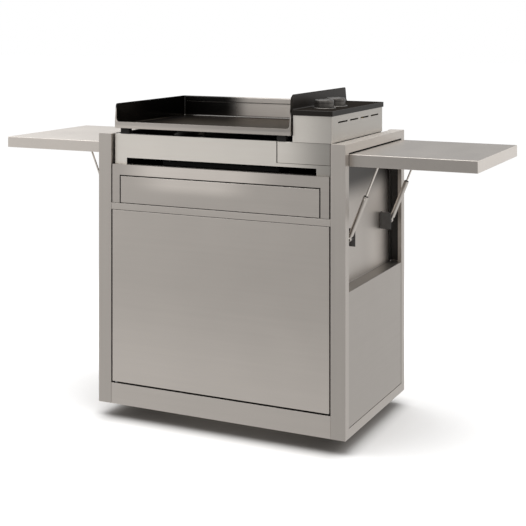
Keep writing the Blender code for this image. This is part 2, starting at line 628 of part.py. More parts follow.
def control_unit():
    """The control box beside the plate: shell, cover with its upstand, gas pipe, spindles and knobs."""
    shell = pan("control_box", (BOX_LEFT, BOX_FRONT, CART_TOP + GAP), (BOX_RIGHT, BOX_REAR, BOX_TOP),
                [(0, 0, 1), (0, 0, -1)])
    for i in range(4):
        y = -0.163 + 0.090 * i
        cut(shell, box("tool", (BOX_RIGHT - 0.01, y - 0.035, 0.9535), (BOX_RIGHT + 0.01, y + 0.035, 0.9575)))
    cut(shell, rod("tool", (KNOB_X, BOX_REAR - 0.01, PIPE_Z), (KNOB_X, BOX_REAR + 0.01, PIPE_Z), PIPE_R + GAP))
    paint(shell, "brushed_steel")

    cover = pan("control_cover", (COVER_LEFT, COVER_FRONT, BOX_TOP + GAP), (COVER_RIGHT, COVER_REAR, COVER_TOP),
                [(0, 0, -1)])
    outline = [(COVER_FRONT + 0.0005, COVER_TOP - 0.012), (COVER_REAR - 0.0005, COVER_TOP - 0.012)]
    outline += rounded_corner((COVER_REAR, COVER_TOP + 0.010), 0.010, 270, -80)
    outline += rounded_corner((COVER_REAR - 0.024, UPSTAND_TOP - 0.008), 0.008, 5, 85)
    outline += rounded_corner((COVER_FRONT + 0.010, UPSTAND_TOP - 0.008), 0.008, 90, 85)
    join(cover, plate_outline("tool", outline, "YZ", COVER_LEFT + 0.001, 0.002))
    for y in KNOB_YS.values():
        cut(cover, rod("tool", (KNOB_X, y, COVER_TOP - 0.01), (KNOB_X, y, COVER_TOP + 0.01), 0.0085, 24))
    paint(cover, "black_enamel")

    pipe = rod("gas_manifold", (KNOB_X, -0.175, PIPE_Z), (KNOB_X, 0.215, PIPE_Z), PIPE_R, 24)
    for y in KNOB_YS.values():
        join(pipe, rod("tool", (KNOB_X, y, PIPE_Z - 0.012), (KNOB_X, y, BOX_TOP - 0.002), 0.013, 24))
        cut(pipe, rod("tool", (KNOB_X, y, BOX_TOP - 0.015), (KNOB_X, y, BOX_TOP + 0.01), SPINDLE_R + GAP, 16))
    paint(pipe, "brass")

    for place, y in KNOB_YS.items():
        inner = KNOB_R + 0.0013
        rim = [(inner, 0.0028), (BEZEL_R - 0.002, 0.0028), (BEZEL_R, 0.0010), (BEZEL_R, 0.0), (inner, 0.0)]
        ring = turned(place + "_knob_bezel", rim, (KNOB_X, y, COVER_TOP + GAP), 36)
        paint(ring, "bright_steel")
        stem_top = COVER_TOP + 0.021
        stem = rod(place + "_valve_spindle", (KNOB_X, y, BOX_TOP - 0.0145), (KNOB_X, y, stem_top), SPINDLE_R, 16)
        paint(pivot(stem, (KNOB_X, y, BOX_TOP)), "zinc")
        bore, roof = SPINDLE_R + GAP, KNOB_H - 0.0015
        profile = [(0.0, KNOB_H), (KNOB_R - 0.0040, KNOB_H), (KNOB_R - 0.0012, KNOB_H - 0.0012),
                   (KNOB_R, KNOB_H - 0.0042), (KNOB_R, 0.0010), (KNOB_R - 0.0010, 0.0), (bore, 0.0), (bore, roof),
                   (0.0, roof)]
        knob = turned(place + "_knob", profile, (KNOB_X, y, COVER_TOP + KNOB_LIFT), 36)
        paint(knob, "knob_black")


def build():
    global PARTS, CUTTERS
    clear_scene()
    PARTS = new_collection("flat_top_griddle")
    CUTTERS = new_collection("cutters")
    make_materials()
    cart_body()
    door()
    drawer()
    for side in ("left", "right"):
        side_frame(side)
        side_panel(side)
        shelf(side)
        strut(side, "front", STRUT_FRONT_Y)
        strut(side, "rear", STRUT_REAR_Y)
        castor(side, "front", CASTOR_FRONT_Y, True)
        castor(side, "rear", CASTOR_REAR_Y, False)
    griddle_plate()
    griddle_unit()
    control_unit()


build()
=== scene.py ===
"""Looks of a flat top gas griddle on a stainless steel cart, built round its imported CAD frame."""

import json
import math

import bmesh
import bpy
from mathutils import Matrix, Vector


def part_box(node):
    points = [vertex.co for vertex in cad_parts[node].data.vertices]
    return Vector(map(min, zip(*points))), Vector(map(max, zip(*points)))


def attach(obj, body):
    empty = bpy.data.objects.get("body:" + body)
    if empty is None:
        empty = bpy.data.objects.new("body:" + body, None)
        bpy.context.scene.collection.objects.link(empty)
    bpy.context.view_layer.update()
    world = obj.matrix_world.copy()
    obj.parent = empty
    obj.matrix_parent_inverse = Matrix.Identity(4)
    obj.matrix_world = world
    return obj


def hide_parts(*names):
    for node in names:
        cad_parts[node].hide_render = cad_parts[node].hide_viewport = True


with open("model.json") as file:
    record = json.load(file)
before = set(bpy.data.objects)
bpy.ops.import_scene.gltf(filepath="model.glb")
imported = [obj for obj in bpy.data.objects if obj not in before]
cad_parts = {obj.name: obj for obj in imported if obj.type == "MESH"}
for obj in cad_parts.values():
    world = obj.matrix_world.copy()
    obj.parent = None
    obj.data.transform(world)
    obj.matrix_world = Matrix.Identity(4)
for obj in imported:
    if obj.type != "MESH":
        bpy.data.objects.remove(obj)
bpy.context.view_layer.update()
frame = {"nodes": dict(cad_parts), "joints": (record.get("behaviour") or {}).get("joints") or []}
JOINT_PLACE = {joint["name"]: Vector(joint["pos_m"]) for joint in frame["joints"] if "pos_m" in joint}

# Metres: sheet thickness, height of the recess sills, radii of a stay's tube and rod, where the stays' top
# pins are, and the height of the gas pipe's axis.
SHEET = 0.0015
SILL = 0.468
TUBE_R = 0.0075
ROD_R = 0.003
STAY_HEAD_X = 0.5
GAS_Z = 0.93
SIDES, ENDS = ("left", "right"), ("front", "rear")
UP, BACK, ACROSS = (0, 0, 1), (0, 1, 0), (1, 0, 0)
AXES = {"+Y": BACK, "-Y": (0, -1, 0), "+Z": UP, "-Z": (0, 0, -1)}
PLANES = {"XZ": lambda a, b, c: (a, c, b), "YZ": lambda a, b, c: (c, a, b), "XY": lambda a, b, c: (a, b, c)}
MATERIALS = {}


def mirrored(side, x):
    return -x if side == "left" else x


def centre(node):
    low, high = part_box(node)
    return (low + high) / 2


def cos_sin(degrees):
    return math.cos(math.radians(degrees)), math.sin(math.radians(degrees))


def linked(name, data):
    obj = bpy.data.objects.new(name, data)
    bpy.context.scene.collection.objects.link(obj)
    return obj


# ---- materials

class Graph:
    """A small helper for wiring a material's or the world's nodes."""

    def __init__(self, tree):
        self.tree = tree

    def set(self, node, name, value):
        socket = node.inputs[name]
        if isinstance(value, bpy.types.NodeSocket):
            self.tree.links.new(value, socket)
        else:
            socket.default_value = (*value, 1.0) if socket.type == "RGBA" else value

    def fill(self, node, **inputs):
        for name, value in inputs.items():
            self.set(node, name.replace("_", " "), value)
        return node

    def node(self, kind, **inputs):
        return self.fill(self.tree.nodes.new("ShaderNode" + kind), **inputs)

    def bump(self, strength, distance, height):
        return self.node("Bump", Strength=strength, Distance=distance, Height=height).outputs["Normal"]

    def filled(self, kind, values, **settings):
        """The outputs of a new node whose inputs are set in their order."""
        made = self.tree.nodes.new("ShaderNode" + kind)
        for name, value in settings.items():
            setattr(made, name, value)
        for index, value in enumerate(values):
            self.set(made, index, value)
        return made.outputs

    def math(self, operation, *values):
        return self.filled("Math", values, operation=operation)[0]

    def vector(self, operation, *values):
        return self.filled("VectorMath", values, operation=operation)

    def scaled(self, vector, scale):
        return self.vector("MULTIPLY", vector, scale)["Vector"]

    def dimmed(self, tint, share):
        return self.scaled(tint, (share, share, share))

    def part(self, vector, axis):
        return self.filled("SeparateXYZ", [vector])[axis]

    def noise(self, vector, scale, detail=2.0, roughness=0.5):
        made = self.node("TexNoise", Vector=vector, Scale=scale, Detail=detail, Roughness=roughness)
        return made.outputs["Fac"]

    def ramp(self, factor, stops):
        made = self.tree.nodes.new("ShaderNodeValToRGB")
        self.set(made, 0, factor)
        elements = made.color_ramp.elements
        while len(elements) < len(stops):
            elements.new(0.5)
        for element, (position, colour) in zip(elements, stops):
            element.position = position
            element.color = (*colour, 1.0)
        return made.outputs["Color"]

    def mix(self, factor, first, second):
        made = self.tree.nodes.new("ShaderNodeMix")
        made.data_type = "RGBA"
        for index, value in ((0, factor), (6, first), (7, second)):
            self.set(made, index, value)
        return made.outputs[2]

    def map(self, value, low, high, start=0.0, end=1.0, kind="LINEAR"):
        """VALUE's way from START to END carried over to LOW to HIGH."""
        return self.filled("MapRange", (value, start, end, low, high), interpolation_type=kind)[0]

    def along(self, place, axis, start, end):
        """How far a point lies from START to END on an axis, from 0 to 1 and smoothed."""
        return self.map(self.part(place, axis), 0.0, 1.0, start, end, "SMOOTHSTEP")

    def faded(self, tint, place, painted_fades):
        """TINT going to a share of itself between two places, for each (axis, start, end, share): painted
        light and shade.
        """
        for axis, start, end, share in painted_fades:
            tint = self.mix(self.along(place, axis, start, end), tint, self.dimmed(tint, share))
        return tint

    def paint_highlight(self, tint, place, spans, share):
        """TINT going to a share of itself where all the SPANS overlap, each (axis, start, full): a painted
        highlight.
        """
        level = 1.0
        for axis, start, full in spans:
            level = self.math("MULTIPLY", self.along(place, axis, start, full), level)
        return self.mix(level, tint, self.dimmed(tint, share))

    def paint_top_shade(self, tint, top):
        """TINT with that share of itself on faces that look up: painted shade on tops."""
        if top == 1.0:
            return tint
        level = self.along(self.node("NewGeometry").outputs["Normal"], "Z", 0.15, 0.65)
        return self.mix(level, tint, self.dimmed(tint, top))


def new_material(name):
    """The graph, the shader and the object coordinates of a new material."""
    material = bpy.data.materials.new(name)
    material.use_nodes = True
    MATERIALS[name] = material
    graph = Graph(material.node_tree)
    return graph, material.node_tree.nodes["Principled BSDF"], graph.node("TexCoord").outputs["Object"]


def shade(colour, factor):
    return tuple(min(1.0, c * factor) for c in colour)


# The stretch of the fine and of the broad scratches along each direction of the grain.
GRAIN = {"X": ((3.0, 700.0, 700.0), (1.2, 80.0, 80.0)), "Y": ((700.0, 3.0, 700.0), (80.0, 1.2, 80.0)),
         "Z": ((700.0, 700.0, 3.0), (80.0, 80.0, 1.2))}


def brushed(name, colour, roughness=0.38, grain="X", bump=0.1, contrast=0.06, painted_fades=(), top=1.0, painted_highlight=None):
    """Brushed metal: fine long scratches, broader bands and faint handling marks.

    Each of the fades is (axis, start, end, share), painted light and shade: the tone goes to that share of
    itself between two places on an axis. TOP is the share of the tone on faces that look up, painted shade on
    tops. The
    painted highlight is (spans, share): the tone goes to that share of itself where all the spans (axis,
    start, full) overlap.
    """
    graph, shader, place = new_material(name)
    fine_scale, broad_scale = GRAIN[grain]
    fine = graph.noise(graph.scaled(place, fine_scale), 1.0, 3.0, 0.6)
    broad = graph.noise(graph.scaled(place, broad_scale), 1.0, 2.0)
    cloud = graph.noise(place, 7.0, 3.0)
    tone = graph.math("ADD", graph.math("MULTIPLY", fine, 0.5), graph.math("MULTIPLY", broad, 0.5))
    tint = graph.mix(tone, shade(colour, 1.0 - contrast), shade(colour, 1.0 + contrast))
    tint = graph.mix(graph.map(cloud, 0.0, 0.35), tint, shade(colour, 0.94))
    tint = graph.faded(tint, place, painted_fades)
    if painted_highlight:
        tint = graph.paint_highlight(tint, place, *painted_highlight)
    worn = graph.map(fine, roughness - 0.06, roughness + 0.06)
    worn = graph.math("ADD", worn, graph.map(cloud, -0.04, 0.05))
    graph.fill(shader, Base_Color=graph.paint_top_shade(tint, top), Roughness=worn, Metallic=1.0,
               Normal=graph.bump(bump, 0.0003, fine))


def coated(name, colour, roughness, grain_size=900.0, bump=0.06, metallic=0.0, specular=0.5, calm=False,
           top=1.0, painted_fades=()):
    """Paint, enamel, rubber or plastic with a fine orange peel and slightly uneven gloss.

    A CALM coat loses its gloss where it is seen edge on. TOP and the fades are painted shade and light, as
    for brushed metal.
    """
    graph, shader, place = new_material(name)
    peel = graph.noise(place, grain_size, 2.0)
    cloud = graph.noise(place, 9.0, 4.0)
    tint = graph.faded(graph.mix(cloud, shade(colour, 0.85), shade(colour, 1.15)), place, painted_fades)
    worn = graph.map(cloud, roughness - 0.05, roughness + 0.05)
    worn = graph.math("ADD", worn, graph.map(peel, -0.02, 0.02))
    if calm:
        specular = graph.map(graph.node("LayerWeight").outputs["Facing"], specular, 0.0, 0.62, 0.86)
    graph.fill(shader, Base_Color=graph.paint_top_shade(tint, top), Roughness=worn, Metallic=metallic,
               Specular_IOR_Level=specular, Normal=graph.bump(bump, 0.0002, peel))


def plate_steel():
    """The plate's steel: a dark ground floor with painted shade at the far left; a rear wall with a painted
    reflection, nearly black at the left and bright at the right, and darker along its foot; a front edge
    painted lighter at the left than at the right; and painted shade on faces that look up.
    """
    graph, shader, place = new_material("plate_polished")
    fine = graph.noise(graph.scaled(place, (4.0, 520.0, 520.0)), 1.0, 3.0, 0.6)
    cloud = graph.noise(place, 6.0, 4.0)
    streaks = graph.mix(fine, (0.94, 0.94, 0.94), (1.06, 1.06, 1.06))
    upright = graph.along(place, "Y", 0.1765, 0.1785)
    front = graph.along(place, "Y", -0.257, -0.259)
    # Where the painted reflection on the rear wall turns from nearly black at the left to bright.
    clear = graph.along(place, "X", -0.2, -0.1)

    wall = graph.mix(clear, (0.1, 0.098, 0.095), (0.88, 0.815, 0.75))
    wall = graph.mix(graph.along(place, "Z", 0.933, 0.926), wall, (0.12, 0.115, 0.11))
    # Painted shade on the ground floor's far left.
    ground = graph.mix(graph.along(place, "X", -0.357, -0.25), (0.03, 0.029, 0.028), (0.036, 0.032, 0.028))
    # The front edge painted lighter at the left than at the right: painted light.
    lip = graph.mix(graph.along(place, "X", -0.35, 0.25), (0.58, 0.536, 0.493), (0.43, 0.398, 0.366))
    tint = graph.mix(front, graph.mix(upright, ground, wall), lip)

    smooth = graph.math("ADD", graph.map(fine, 0.13, 0.19), graph.map(cloud, -0.02, 0.05))
    not_wall = graph.math("SUBTRACT", 1.0, upright)
    flat = graph.math("MULTIPLY", graph.along(place, "Z", 0.9262, 0.9246), not_wall)
    for rougher in (flat, graph.math("MULTIPLY", upright, clear), front):
        smooth = graph.math("MULTIPLY_ADD", rougher, 0.2, smooth)
    # Painted shade on faces that look up.
    graph.fill(shader, Base_Color=graph.scaled(graph.paint_top_shade(tint, 0.5), streaks), Roughness=smooth,
               Metallic=1.0, Specular_Tint=(0.56, 0.53, 0.5), Normal=graph.bump(0.02, 0.0001, fine))


def make_materials():
    def tone(value):
        return value, value * 0.925, value * 0.85

    # The brushed stainless parts from here to steel_box are one steel, toned apart for how light falls on
    # each: painted light and shade.
    # steel_front: painted reflection, lighter towards the bottom, painted shade along the very bottom and on
    # faces that look up.
    brushed("steel_front", tone(0.62), 0.4, "X", top=0.2,
            painted_fades=[("Z", 0.5, 0.12, 1.2), ("Z", 0.1165, 0.115, 0.92)])
    # steel_drawer: painted shade on its right end and on faces that look up, and a painted highlight across
    # its upper middle.
    brushed("steel_drawer", tone(0.6), 0.4, "X", painted_fades=[("X", 0.3378, 0.3388, 0.2)], top=0.2,
            painted_highlight=([("X", -0.32, -0.15), ("X", 0.15, -0.01), ("Z", 0.709, 0.747)], 1.38))
    # steel_post: painted shade on faces that look up.
    brushed("steel_post", tone(0.6), 0.4, "Z", top=0.85)
    # steel_side also gets painted shade on faces that look up.
    # steel_side: recess wall painted lighter than the skin below the sill, painted shadow under the shelf,
    # painted highlight on the wall's rear.
    brushed("steel_side", tone(0.51), 0.4, "Y", top=0.5,
            painted_fades=[("Z", 0.47, 0.48, 1.17), ("Z", 0.7, 0.78, 0.15)],
            painted_highlight=([("Y", 0.0, 0.15), ("Z", 0.47, 0.48)], 1.35))
    # steel_fascia: painted shade growing towards its right end and on faces that look up.
    brushed("steel_fascia", tone(0.99), 0.36, "X", painted_fades=[("X", 0.2, 0.37, 0.48)], top=0.6)
    # steel_frame: a painted highlight across its middle and painted shade on faces that look up.
    brushed("steel_frame", tone(0.58), 0.38, "X", top=0.45,
            painted_highlight=([("X", -0.36, -0.2), ("X", 0.24, 0.05)], 1.55))
    # The right shelf's end gets a painted highlight; both get painted shade on faces that look up.
    # The shelves are one steel, the left painted lighter than the right: painted light and shade.
    brushed("steel_shelf_left", tone(0.82), 0.32, "Y", top=0.77)
    brushed("steel_shelf_right", tone(0.61), 0.32, "Y", painted_fades=[("X", 0.7985, 0.7993, 1.4)], top=0.66)
    # steel_box: painted shade growing towards the right and on its right side.
    brushed("steel_box", tone(0.99), 0.34, "Y", painted_fades=[("X", 0.26, 0.372, 0.7), ("X", 0.3728, 0.3738, 0.77)])
    brushed("steel_inner", tone(0.42), 0.5, "Y")
    brushed("steel_bright", tone(0.8), 0.2, "Z", bump=0.03)
    brushed("steel_tube", tone(0.66), 0.34, "Z", bump=0.03)
    brushed("steel_rod", tone(0.92), 0.15, "Z", bump=0.02)
    # burner_steel: near black, so the burners read as the shade under the plate: painted shade.
    brushed("burner_steel", (0.035, 0.03, 0.026), 0.6, "X", bump=0.05, contrast=0.2)
    # bezel_dark: painted shade on faces that look up.
    brushed("bezel_dark", (0.14, 0.13, 0.12), 0.34, "X", bump=0.04, top=0.5)
    brushed("zinc", (0.56, 0.57, 0.58), 0.38, "Z", bump=0.05)
    brushed("brass", (0.62, 0.44, 0.18), 0.32, "Y", bump=0.04)
    plate_steel()
    # enamel_black: painted shade below a height of 1 m, on the lower splash guard and all below it.
    coated("enamel_black", (0.022, 0.019, 0.0165), 0.32, specular=0.1, calm=True,
           painted_fades=[("Z", 1.02, 1.0, 0.6)])
    # A dark liner colour standing for the shade inside the rear posts: painted shade.
    coated("shade_liner_dark", (0.06, 0.055, 0.05), 0.5, specular=0.2)
    # Near perfect black for the chassis and grease tray, standing for the shade under the plate: painted
    # shade.
    coated("shade_black", (0.003, 0.003, 0.003), 0.7, specular=0.08)
    coated("foot_black", (0.012, 0.011, 0.01), 0.6, specular=0.2)
    # A black strip colour standing for the shade in the shelves' hinge gaps: painted shade.
    coated("gap_shade_black", (0.008, 0.008, 0.008), 0.9, bump=0.3, specular=0.05)
    # knob_black: painted shade on faces that look up.
    coated("knob_black", (0.135, 0.125, 0.115), 0.3, metallic=0.85, top=0.25)
    coated("mark_grey", (0.3, 0.29, 0.28), 0.45)
    coated("bracket_grey", (0.105, 0.1, 0.096), 0.5, metallic=0.4)
    coated("bracket_black", (0.01, 0.01, 0.01), 0.55, specular=0.15)
    coated("tyre_rubber", (0.03, 0.03, 0.031), 0.75, grain_size=500.0)
    coated("hub_grey", (0.3, 0.3, 0.31), 0.5)
    coated("ceramic", (0.16, 0.15, 0.14), 0.4)


# ---- building pieces

def even_shading(obj):
    """Keeps flat sheets flat to the eye beside their rounded bends."""
    step = obj.modifiers.new("even_shading", "WEIGHTED_NORMAL")
    step.mode = "FACE_AREA"
    step.weight = 100
    step.keep_sharp = True


def finish_piece(obj, material, body="root", nodes=()):
    """Gives a new piece its material and body, and hides the CAD nodes it stands for."""
    nodes = (nodes,) if isinstance(nodes, str) else nodes
    obj.data.materials.clear()
    obj.data.materials.append(MATERIALS[material])
    even_shading(obj)
    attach(obj, body)
    if nodes:
        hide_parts(*nodes)


def cover_node(obj, material, node):
    """Finishes a piece that stands for the node its body is named after."""
    finish_piece(obj, material, node, node)


def link_mesh(name, work, smooth=True, angle=35, turn_out=True):
    if turn_out:
        bmesh.ops.recalc_face_normals(work, faces=work.faces)
    mesh = bpy.data.meshes.new(name)
    work.to_mesh(mesh)
    work.free()
    obj = linked(name, mesh)
    if smooth:
        mesh.shade_smooth()
        mesh.set_sharp_from_angle(angle=math.radians(angle))
    return obj


def add_bevel(obj, width, segments=3, angle=35):
    rounding = obj.modifiers.new("rounding", "BEVEL")
    rounding.width = width
    rounding.segments = segments
    rounding.limit_method = "ANGLE"
    rounding.angle_limit = math.radians(angle)
    rounding.use_clamp_overlap = True
    return obj


def add_sheet(obj, thickness=SHEET):
    """Thickens an open surface against its normals, or along them where the thickness is negative."""
    shell = obj.modifiers.new("sheet", "SOLIDIFY")
    shell.thickness = abs(thickness)
    shell.offset = -1.0 if thickness > 0 else 1.0
    shell.use_even_offset = True
    return obj


def cube(work, low, high):
    size = [abs(b - a) for a, b in zip(low, high)]
    middle = [(a + b) / 2 for a, b in zip(low, high)]
    place = Matrix.Translation(middle) @ Matrix.Diagonal((*size, 1.0))
    bmesh.ops.create_cube(work, size=1.0, matrix=place)


def block(name, low, high, rounding=0.0008, segments=2):
    """A solid block with rounded edges."""
    work = bmesh.new()
    cube(work, low, high)
    return add_bevel(link_mesh(name, work), rounding, segments)


def tray(name, low, high, open_to, lip=0.0, bend=0.0012, thickness=SHEET):
    """A folded tray: rounded bends, an open side along OPEN_TO and, if asked, a lip turned in round it."""
    work = bmesh.new()
    cube(work, low, high)
    work.normal_update()
    way = Vector(AXES[open_to])
    mouth = [f for f in work.faces if f.normal.dot(way) > 0.9]
    if lip:
        bmesh.ops.inset_region(work, faces=mouth, thickness=lip, use_even_offset=True)
    bmesh.ops.delete(work, geom=mouth, context="FACES_ONLY")
    return add_sheet(add_bevel(link_mesh(name, work), bend, 3), thickness)


def rounded_rectangle(low, high, radius, steps=6):
    """Points of a rectangle with round corners, anticlockwise."""
    (x0, y0), (x1, y1) = low[:2], high[:2]
    corners = (((x1 - radius, y0 + radius), 270), ((x1 - radius, y1 - radius), 0),
               ((x0 + radius, y1 - radius), 90), ((x0 + radius, y0 + radius), 180))
    return [point for centre, start in corners for point in arc(centre, radius, start, 90, steps)]


def walls(work, near, far):
    """Joins two closed rows of points by faces, and gives back the rows' vertices."""
    near, far = ([work.verts.new(point) for point in row] for row in (near, far))
    for i in range(len(near)):
        work.faces.new((near[i - 1], near[i], far[i], far[i - 1]))
    return near, far


def casing(name, low, high, radius, roof=True, bend=0.0018):
    """A sheet casing with round upright corners, open below and, without its roof, above."""
    work = bmesh.new()
    outline = rounded_rectangle(low, high, radius)
    _, upper = walls(work, [(x, y, low[2]) for x, y in outline], [(x, y, high[2]) for x, y in outline])
    if roof:
        work.faces.new(upper)
    return add_sheet(add_bevel(link_mesh(name, work, turn_out=False), bend, 3))


def folded(name, points, plane, start, end, thickness=SHEET, bend=0.0018):
    """A sheet bent along a line of points in a plane, lying to the right of the line as it runs."""
    work = bmesh.new()
    near, far = ([work.verts.new(PLANES[plane](a, b, c)) for a, b in points] for c in (start, end))
    for i in range(len(points) - 1):
        face = (near[i], near[i + 1], far[i + 1], far[i])
        work.faces.new(face if plane == "XZ" else face[::-1])
    return add_sheet(add_bevel(link_mesh(name, work, turn_out=False), bend, 3, angle=25), thickness)


def prism(name, outline, plane, middle, thickness, rounding=0.0004, segments=2):
    """A flat cut-out sheet from its outline."""
    work = bmesh.new()
    ends = middle - thickness / 2, middle + thickness / 2
    for row in walls(work, *([PLANES[plane](a, b, c) for a, b in outline] for c in ends)):
        work.faces.new(row)
    obj = link_mesh(name, work)
    return add_bevel(obj, rounding, segments) if rounding else obj


def lathe(name, profile, base, axis=UP, segments=48, angle=35):
    """A turned piece: PROFILE is (radius, height) points along AXIS from BASE, closed where it has a bore."""
    work = bmesh.new()
    if profile[0][0] > 0.0:
        profile = profile + profile[:1]
    points = [work.verts.new((r, 0.0, h)) for r, h in profile]
    edges = [work.edges.new(pair) for pair in zip(points, points[1:])]
    bmesh.ops.spin(work, geom=points + edges, cent=(0, 0, 0), axis=UP, angle=math.tau, steps=segments,
                   use_duplicate=False)
    bmesh.ops.remove_doubles(work, verts=work.verts, dist=0.000005)
    turn = Vector(UP).rotation_difference(Vector(axis)).to_matrix().to_4x4()
    bmesh.ops.transform(work, matrix=Matrix.Translation(base) @ turn, verts=work.verts)
    return link_mesh(name, work, angle=angle)


def arc(centre, radius, start, turn, steps=6):
    """Points of an arc from START degrees, turning by TURN degrees."""
    ways = [cos_sin(start + turn * i / steps) for i in range(steps + 1)]
    return [(centre[0] + radius * cos, centre[1] + radius * sin) for cos, sin in ways]


def bar(name, start, end, radius, chamfer=0.0006, segments=32):
    """A straight round bar with chamfered ends."""
    way = Vector(end) - Vector(start)
    return ring(name, start, way.normalized(), 0.0, radius, way.length, chamfer, segments)


def ring(name, base, axis, bore, radius, length, chamfer=0.0006, segments=40):
    """A bush: a round bar with a hole along it and chamfered ends."""
    profile = [(bore, 0.0), (radius - chamfer, 0.0), (radius, chamfer), (radius, length - chamfer),
               (radius - chamfer, length), (bore, length)]
    return lathe(name, profile, base, axis, segments)


def pipe(name, points, radius):
    """A round pipe through the points, with closed ends."""
    curve = bpy.data.curves.new(name, "CURVE")
    curve.dimensions = "3D"
    curve.bevel_depth = radius
    curve.bevel_resolution = 6
    curve.use_fill_caps = True
    spline = curve.splines.new("POLY")
    spline.points.add(len(points) - 1)
    for point, place in zip(spline.points, points):
        point.co = (*place, 1.0)
    return merge(name, linked(name, curve))


def merge(name, *objs):
    """Makes one piece of several, with their modifiers applied."""
    bpy.context.view_layer.update()
    graph = bpy.context.evaluated_depsgraph_get()
    work = bmesh.new()
    for obj in objs:
        mesh = bpy.data.meshes.new_from_object(obj.evaluated_get(graph))
        mesh.transform(obj.matrix_world)
        work.from_mesh(mesh)
        bpy.data.meshes.remove(mesh)
    for obj in objs:
        bpy.data.objects.remove(obj, do_unlink=True)
    bmesh.ops.remove_doubles(work, verts=work.verts, dist=0.000002)
    return link_mesh(name, work, turn_out=False)


def carve(obj, *tools):
    """Cuts the tool shapes out of a piece, and removes the tools."""
    for tool in tools:
        cut = obj.modifiers.new("cut", "BOOLEAN")
        cut.operation = "DIFFERENCE"
        cut.object = tool
    made = merge(obj.name, obj)
    for tool in tools:
        bpy.data.objects.remove(tool, do_unlink=True)
    return made


def hexagon(name, base, axis, across, height):
    """A hexagon nut or bolt head with chamfered corners."""
    radius, cut = across / math.sqrt(3), 0.06 * across
    profile = [(0.0, 0.0), (radius, 0.0), (radius, height - cut), (radius - cut, height), (0.0, height)]
    return lathe(name, profile, base, axis, 6, angle=20)


def button_head(name, base, axis, radius):
    """A domed screw head with a round socket."""
    height = radius * 0.6
    profile = [(0.0, height * 0.35), (radius * 0.38, height * 0.35), (radius * 0.42, height * 0.92)]
    profile += [(radius * cos, height * sin) for cos, sin in map(cos_sin, (58, 40, 20, 0))]
    return lathe(name, profile + [(radius, -0.0002), (0.0, -0.0002)], base, axis, 20)


def shoulder(radius, height, across, down, angles):
    """Points of a turned piece's rounded edge, from its flat end out to RADIUS."""
    return [(radius - across + across * sin, height - down * (1 - cos)) for cos, sin in map(cos_sin, angles)]


def heads(name, places, axis, radius, material="steel_bright", hexed=False):
    """A set of like screw heads as one piece."""
    if hexed:
        made = [hexagon("head", place, axis, radius * 1.75, radius * 0.8) for place in places]
    else:
        made = [button_head("head", place, axis, radius) for place in places]
    finish_piece(merge(name, *made), material)


# ---- the cart

def cart_sheets():
    """The folded sheets between the two side frames."""
    # The deck is black enamel, which also keeps the slot under the griddle dark: partly painted shade.
    for node, open_to, material in (("front_skirt", "+Y", "steel_front"), ("cross_rail", "+Y", "steel_front"),
                                    ("cart_deck", "-Z", "enamel_black")):
        finish_piece(tray(node + "_sheet", *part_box(node), open_to), material, nodes=node)
    low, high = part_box("base_floor")
    floor = tray("base_floor_sheet", (low.x, low.y, low.z - 0.01), high, "-Z")
    finish_piece(floor, "steel_inner", nodes="base_floor")


def magnet_catch():
    """The pole shoes of the door's catch."""
    low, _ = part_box("magnet_catch")
    poles = []
    for x in (low.x + 0.0085, low.x + 0.0305):
        ends = (x, low.y - 0.0004, low.z + 0.0085), (x + 0.001, low.y + 0.006, low.z + 0.0135)
        poles.append(block("pole", *ends, 0.0002, 1))
    finish_piece(merge("magnet_catch_poles", *poles), "steel_bright")


def rear_panel():
    """The rear sheet, with two rows of vent slots and its screws."""
    low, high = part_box("rear_panel")
    half, tall, pitch, past = 0.025, 0.003, 0.08, 0.01
    slots = []
    for z in (0.143, 0.161):
        for x in (-0.2 + pitch * i for i in range(6)):
            ends = (x - half, high.y - past, z - tall), (x + half, high.y + past, z + tall)
            slots.append(block("slot", *ends, 0.0028, 4))
    panel = carve(tray("rear_panel_sheet", low, high, "-Y"), *slots)
    finish_piece(panel, "steel_front", nodes="rear_panel")
    edge, bottom, top = high.x - 0.012, 0.075, 0.755
    spots = [(x, high.y, bottom + 0.17 * i) for x in (-edge, edge) for i in range(5)]
    spots += [(x, high.y, z) for x in (-0.18, 0.0, 0.18) for z in (bottom, top)]
    heads("rear_panel_screws", spots, BACK, 0.0042)


def side_panel(side):
    """The skin, sill and recess wall of one cart end, bent from one sheet, and the dark pieces that stand for
    the shade in its hinge gap and rear post channel: painted shade.
    """
    turn = -1 if side == "right" else 1
    low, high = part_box(side + "_side_panel")
    outer = max(abs(low.x), abs(high.x))
    wall = min(abs(low.x), abs(high.x)) + SHEET
    corners = (outer, low.z), (outer, SILL), (wall, SILL), (wall, high.z)
    points = [(mirrored(side, x), z) for x, z in corners]
    skin = folded(side + "_side_panel_sheet", points, "XZ", low.y, high.y, turn * SHEET)
    finish_piece(skin, "steel_side", nodes=side + "_side_panel")

    frame_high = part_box(side + "_side_frame")[1]
    # A black strip behind the shelf's hinge gap, standing for the shade there: painted shade.
    seal = block(side + "_hinge_gap_shade", (mirrored(side, 0.403), low.y + 0.002, 0.862),
                 (mirrored(side, 0.4055), high.y - 0.002, frame_high.z - 0.004), 0.0008)
    finish_piece(seal, "gap_shade_black")
    # A dark liner inside the rear post channel, standing for the shade there: painted shade.
    near, rear, inner, outer, gauge = high.y + 0.002, frame_high.y - SHEET - 0.0005, 0.3765, 0.4175, 0.0012
    points = [(mirrored(side, x), y) for x, y in ((outer, near), (outer, rear), (inner, rear), (inner, near))]
    stay = folded(side + "_rear_post_shade_liner", points, "XY", SILL + 0.001, frame_high.z - 0.047,
                  turn * gauge, 0.0012)
    finish_piece(stay, "shade_liner_dark")


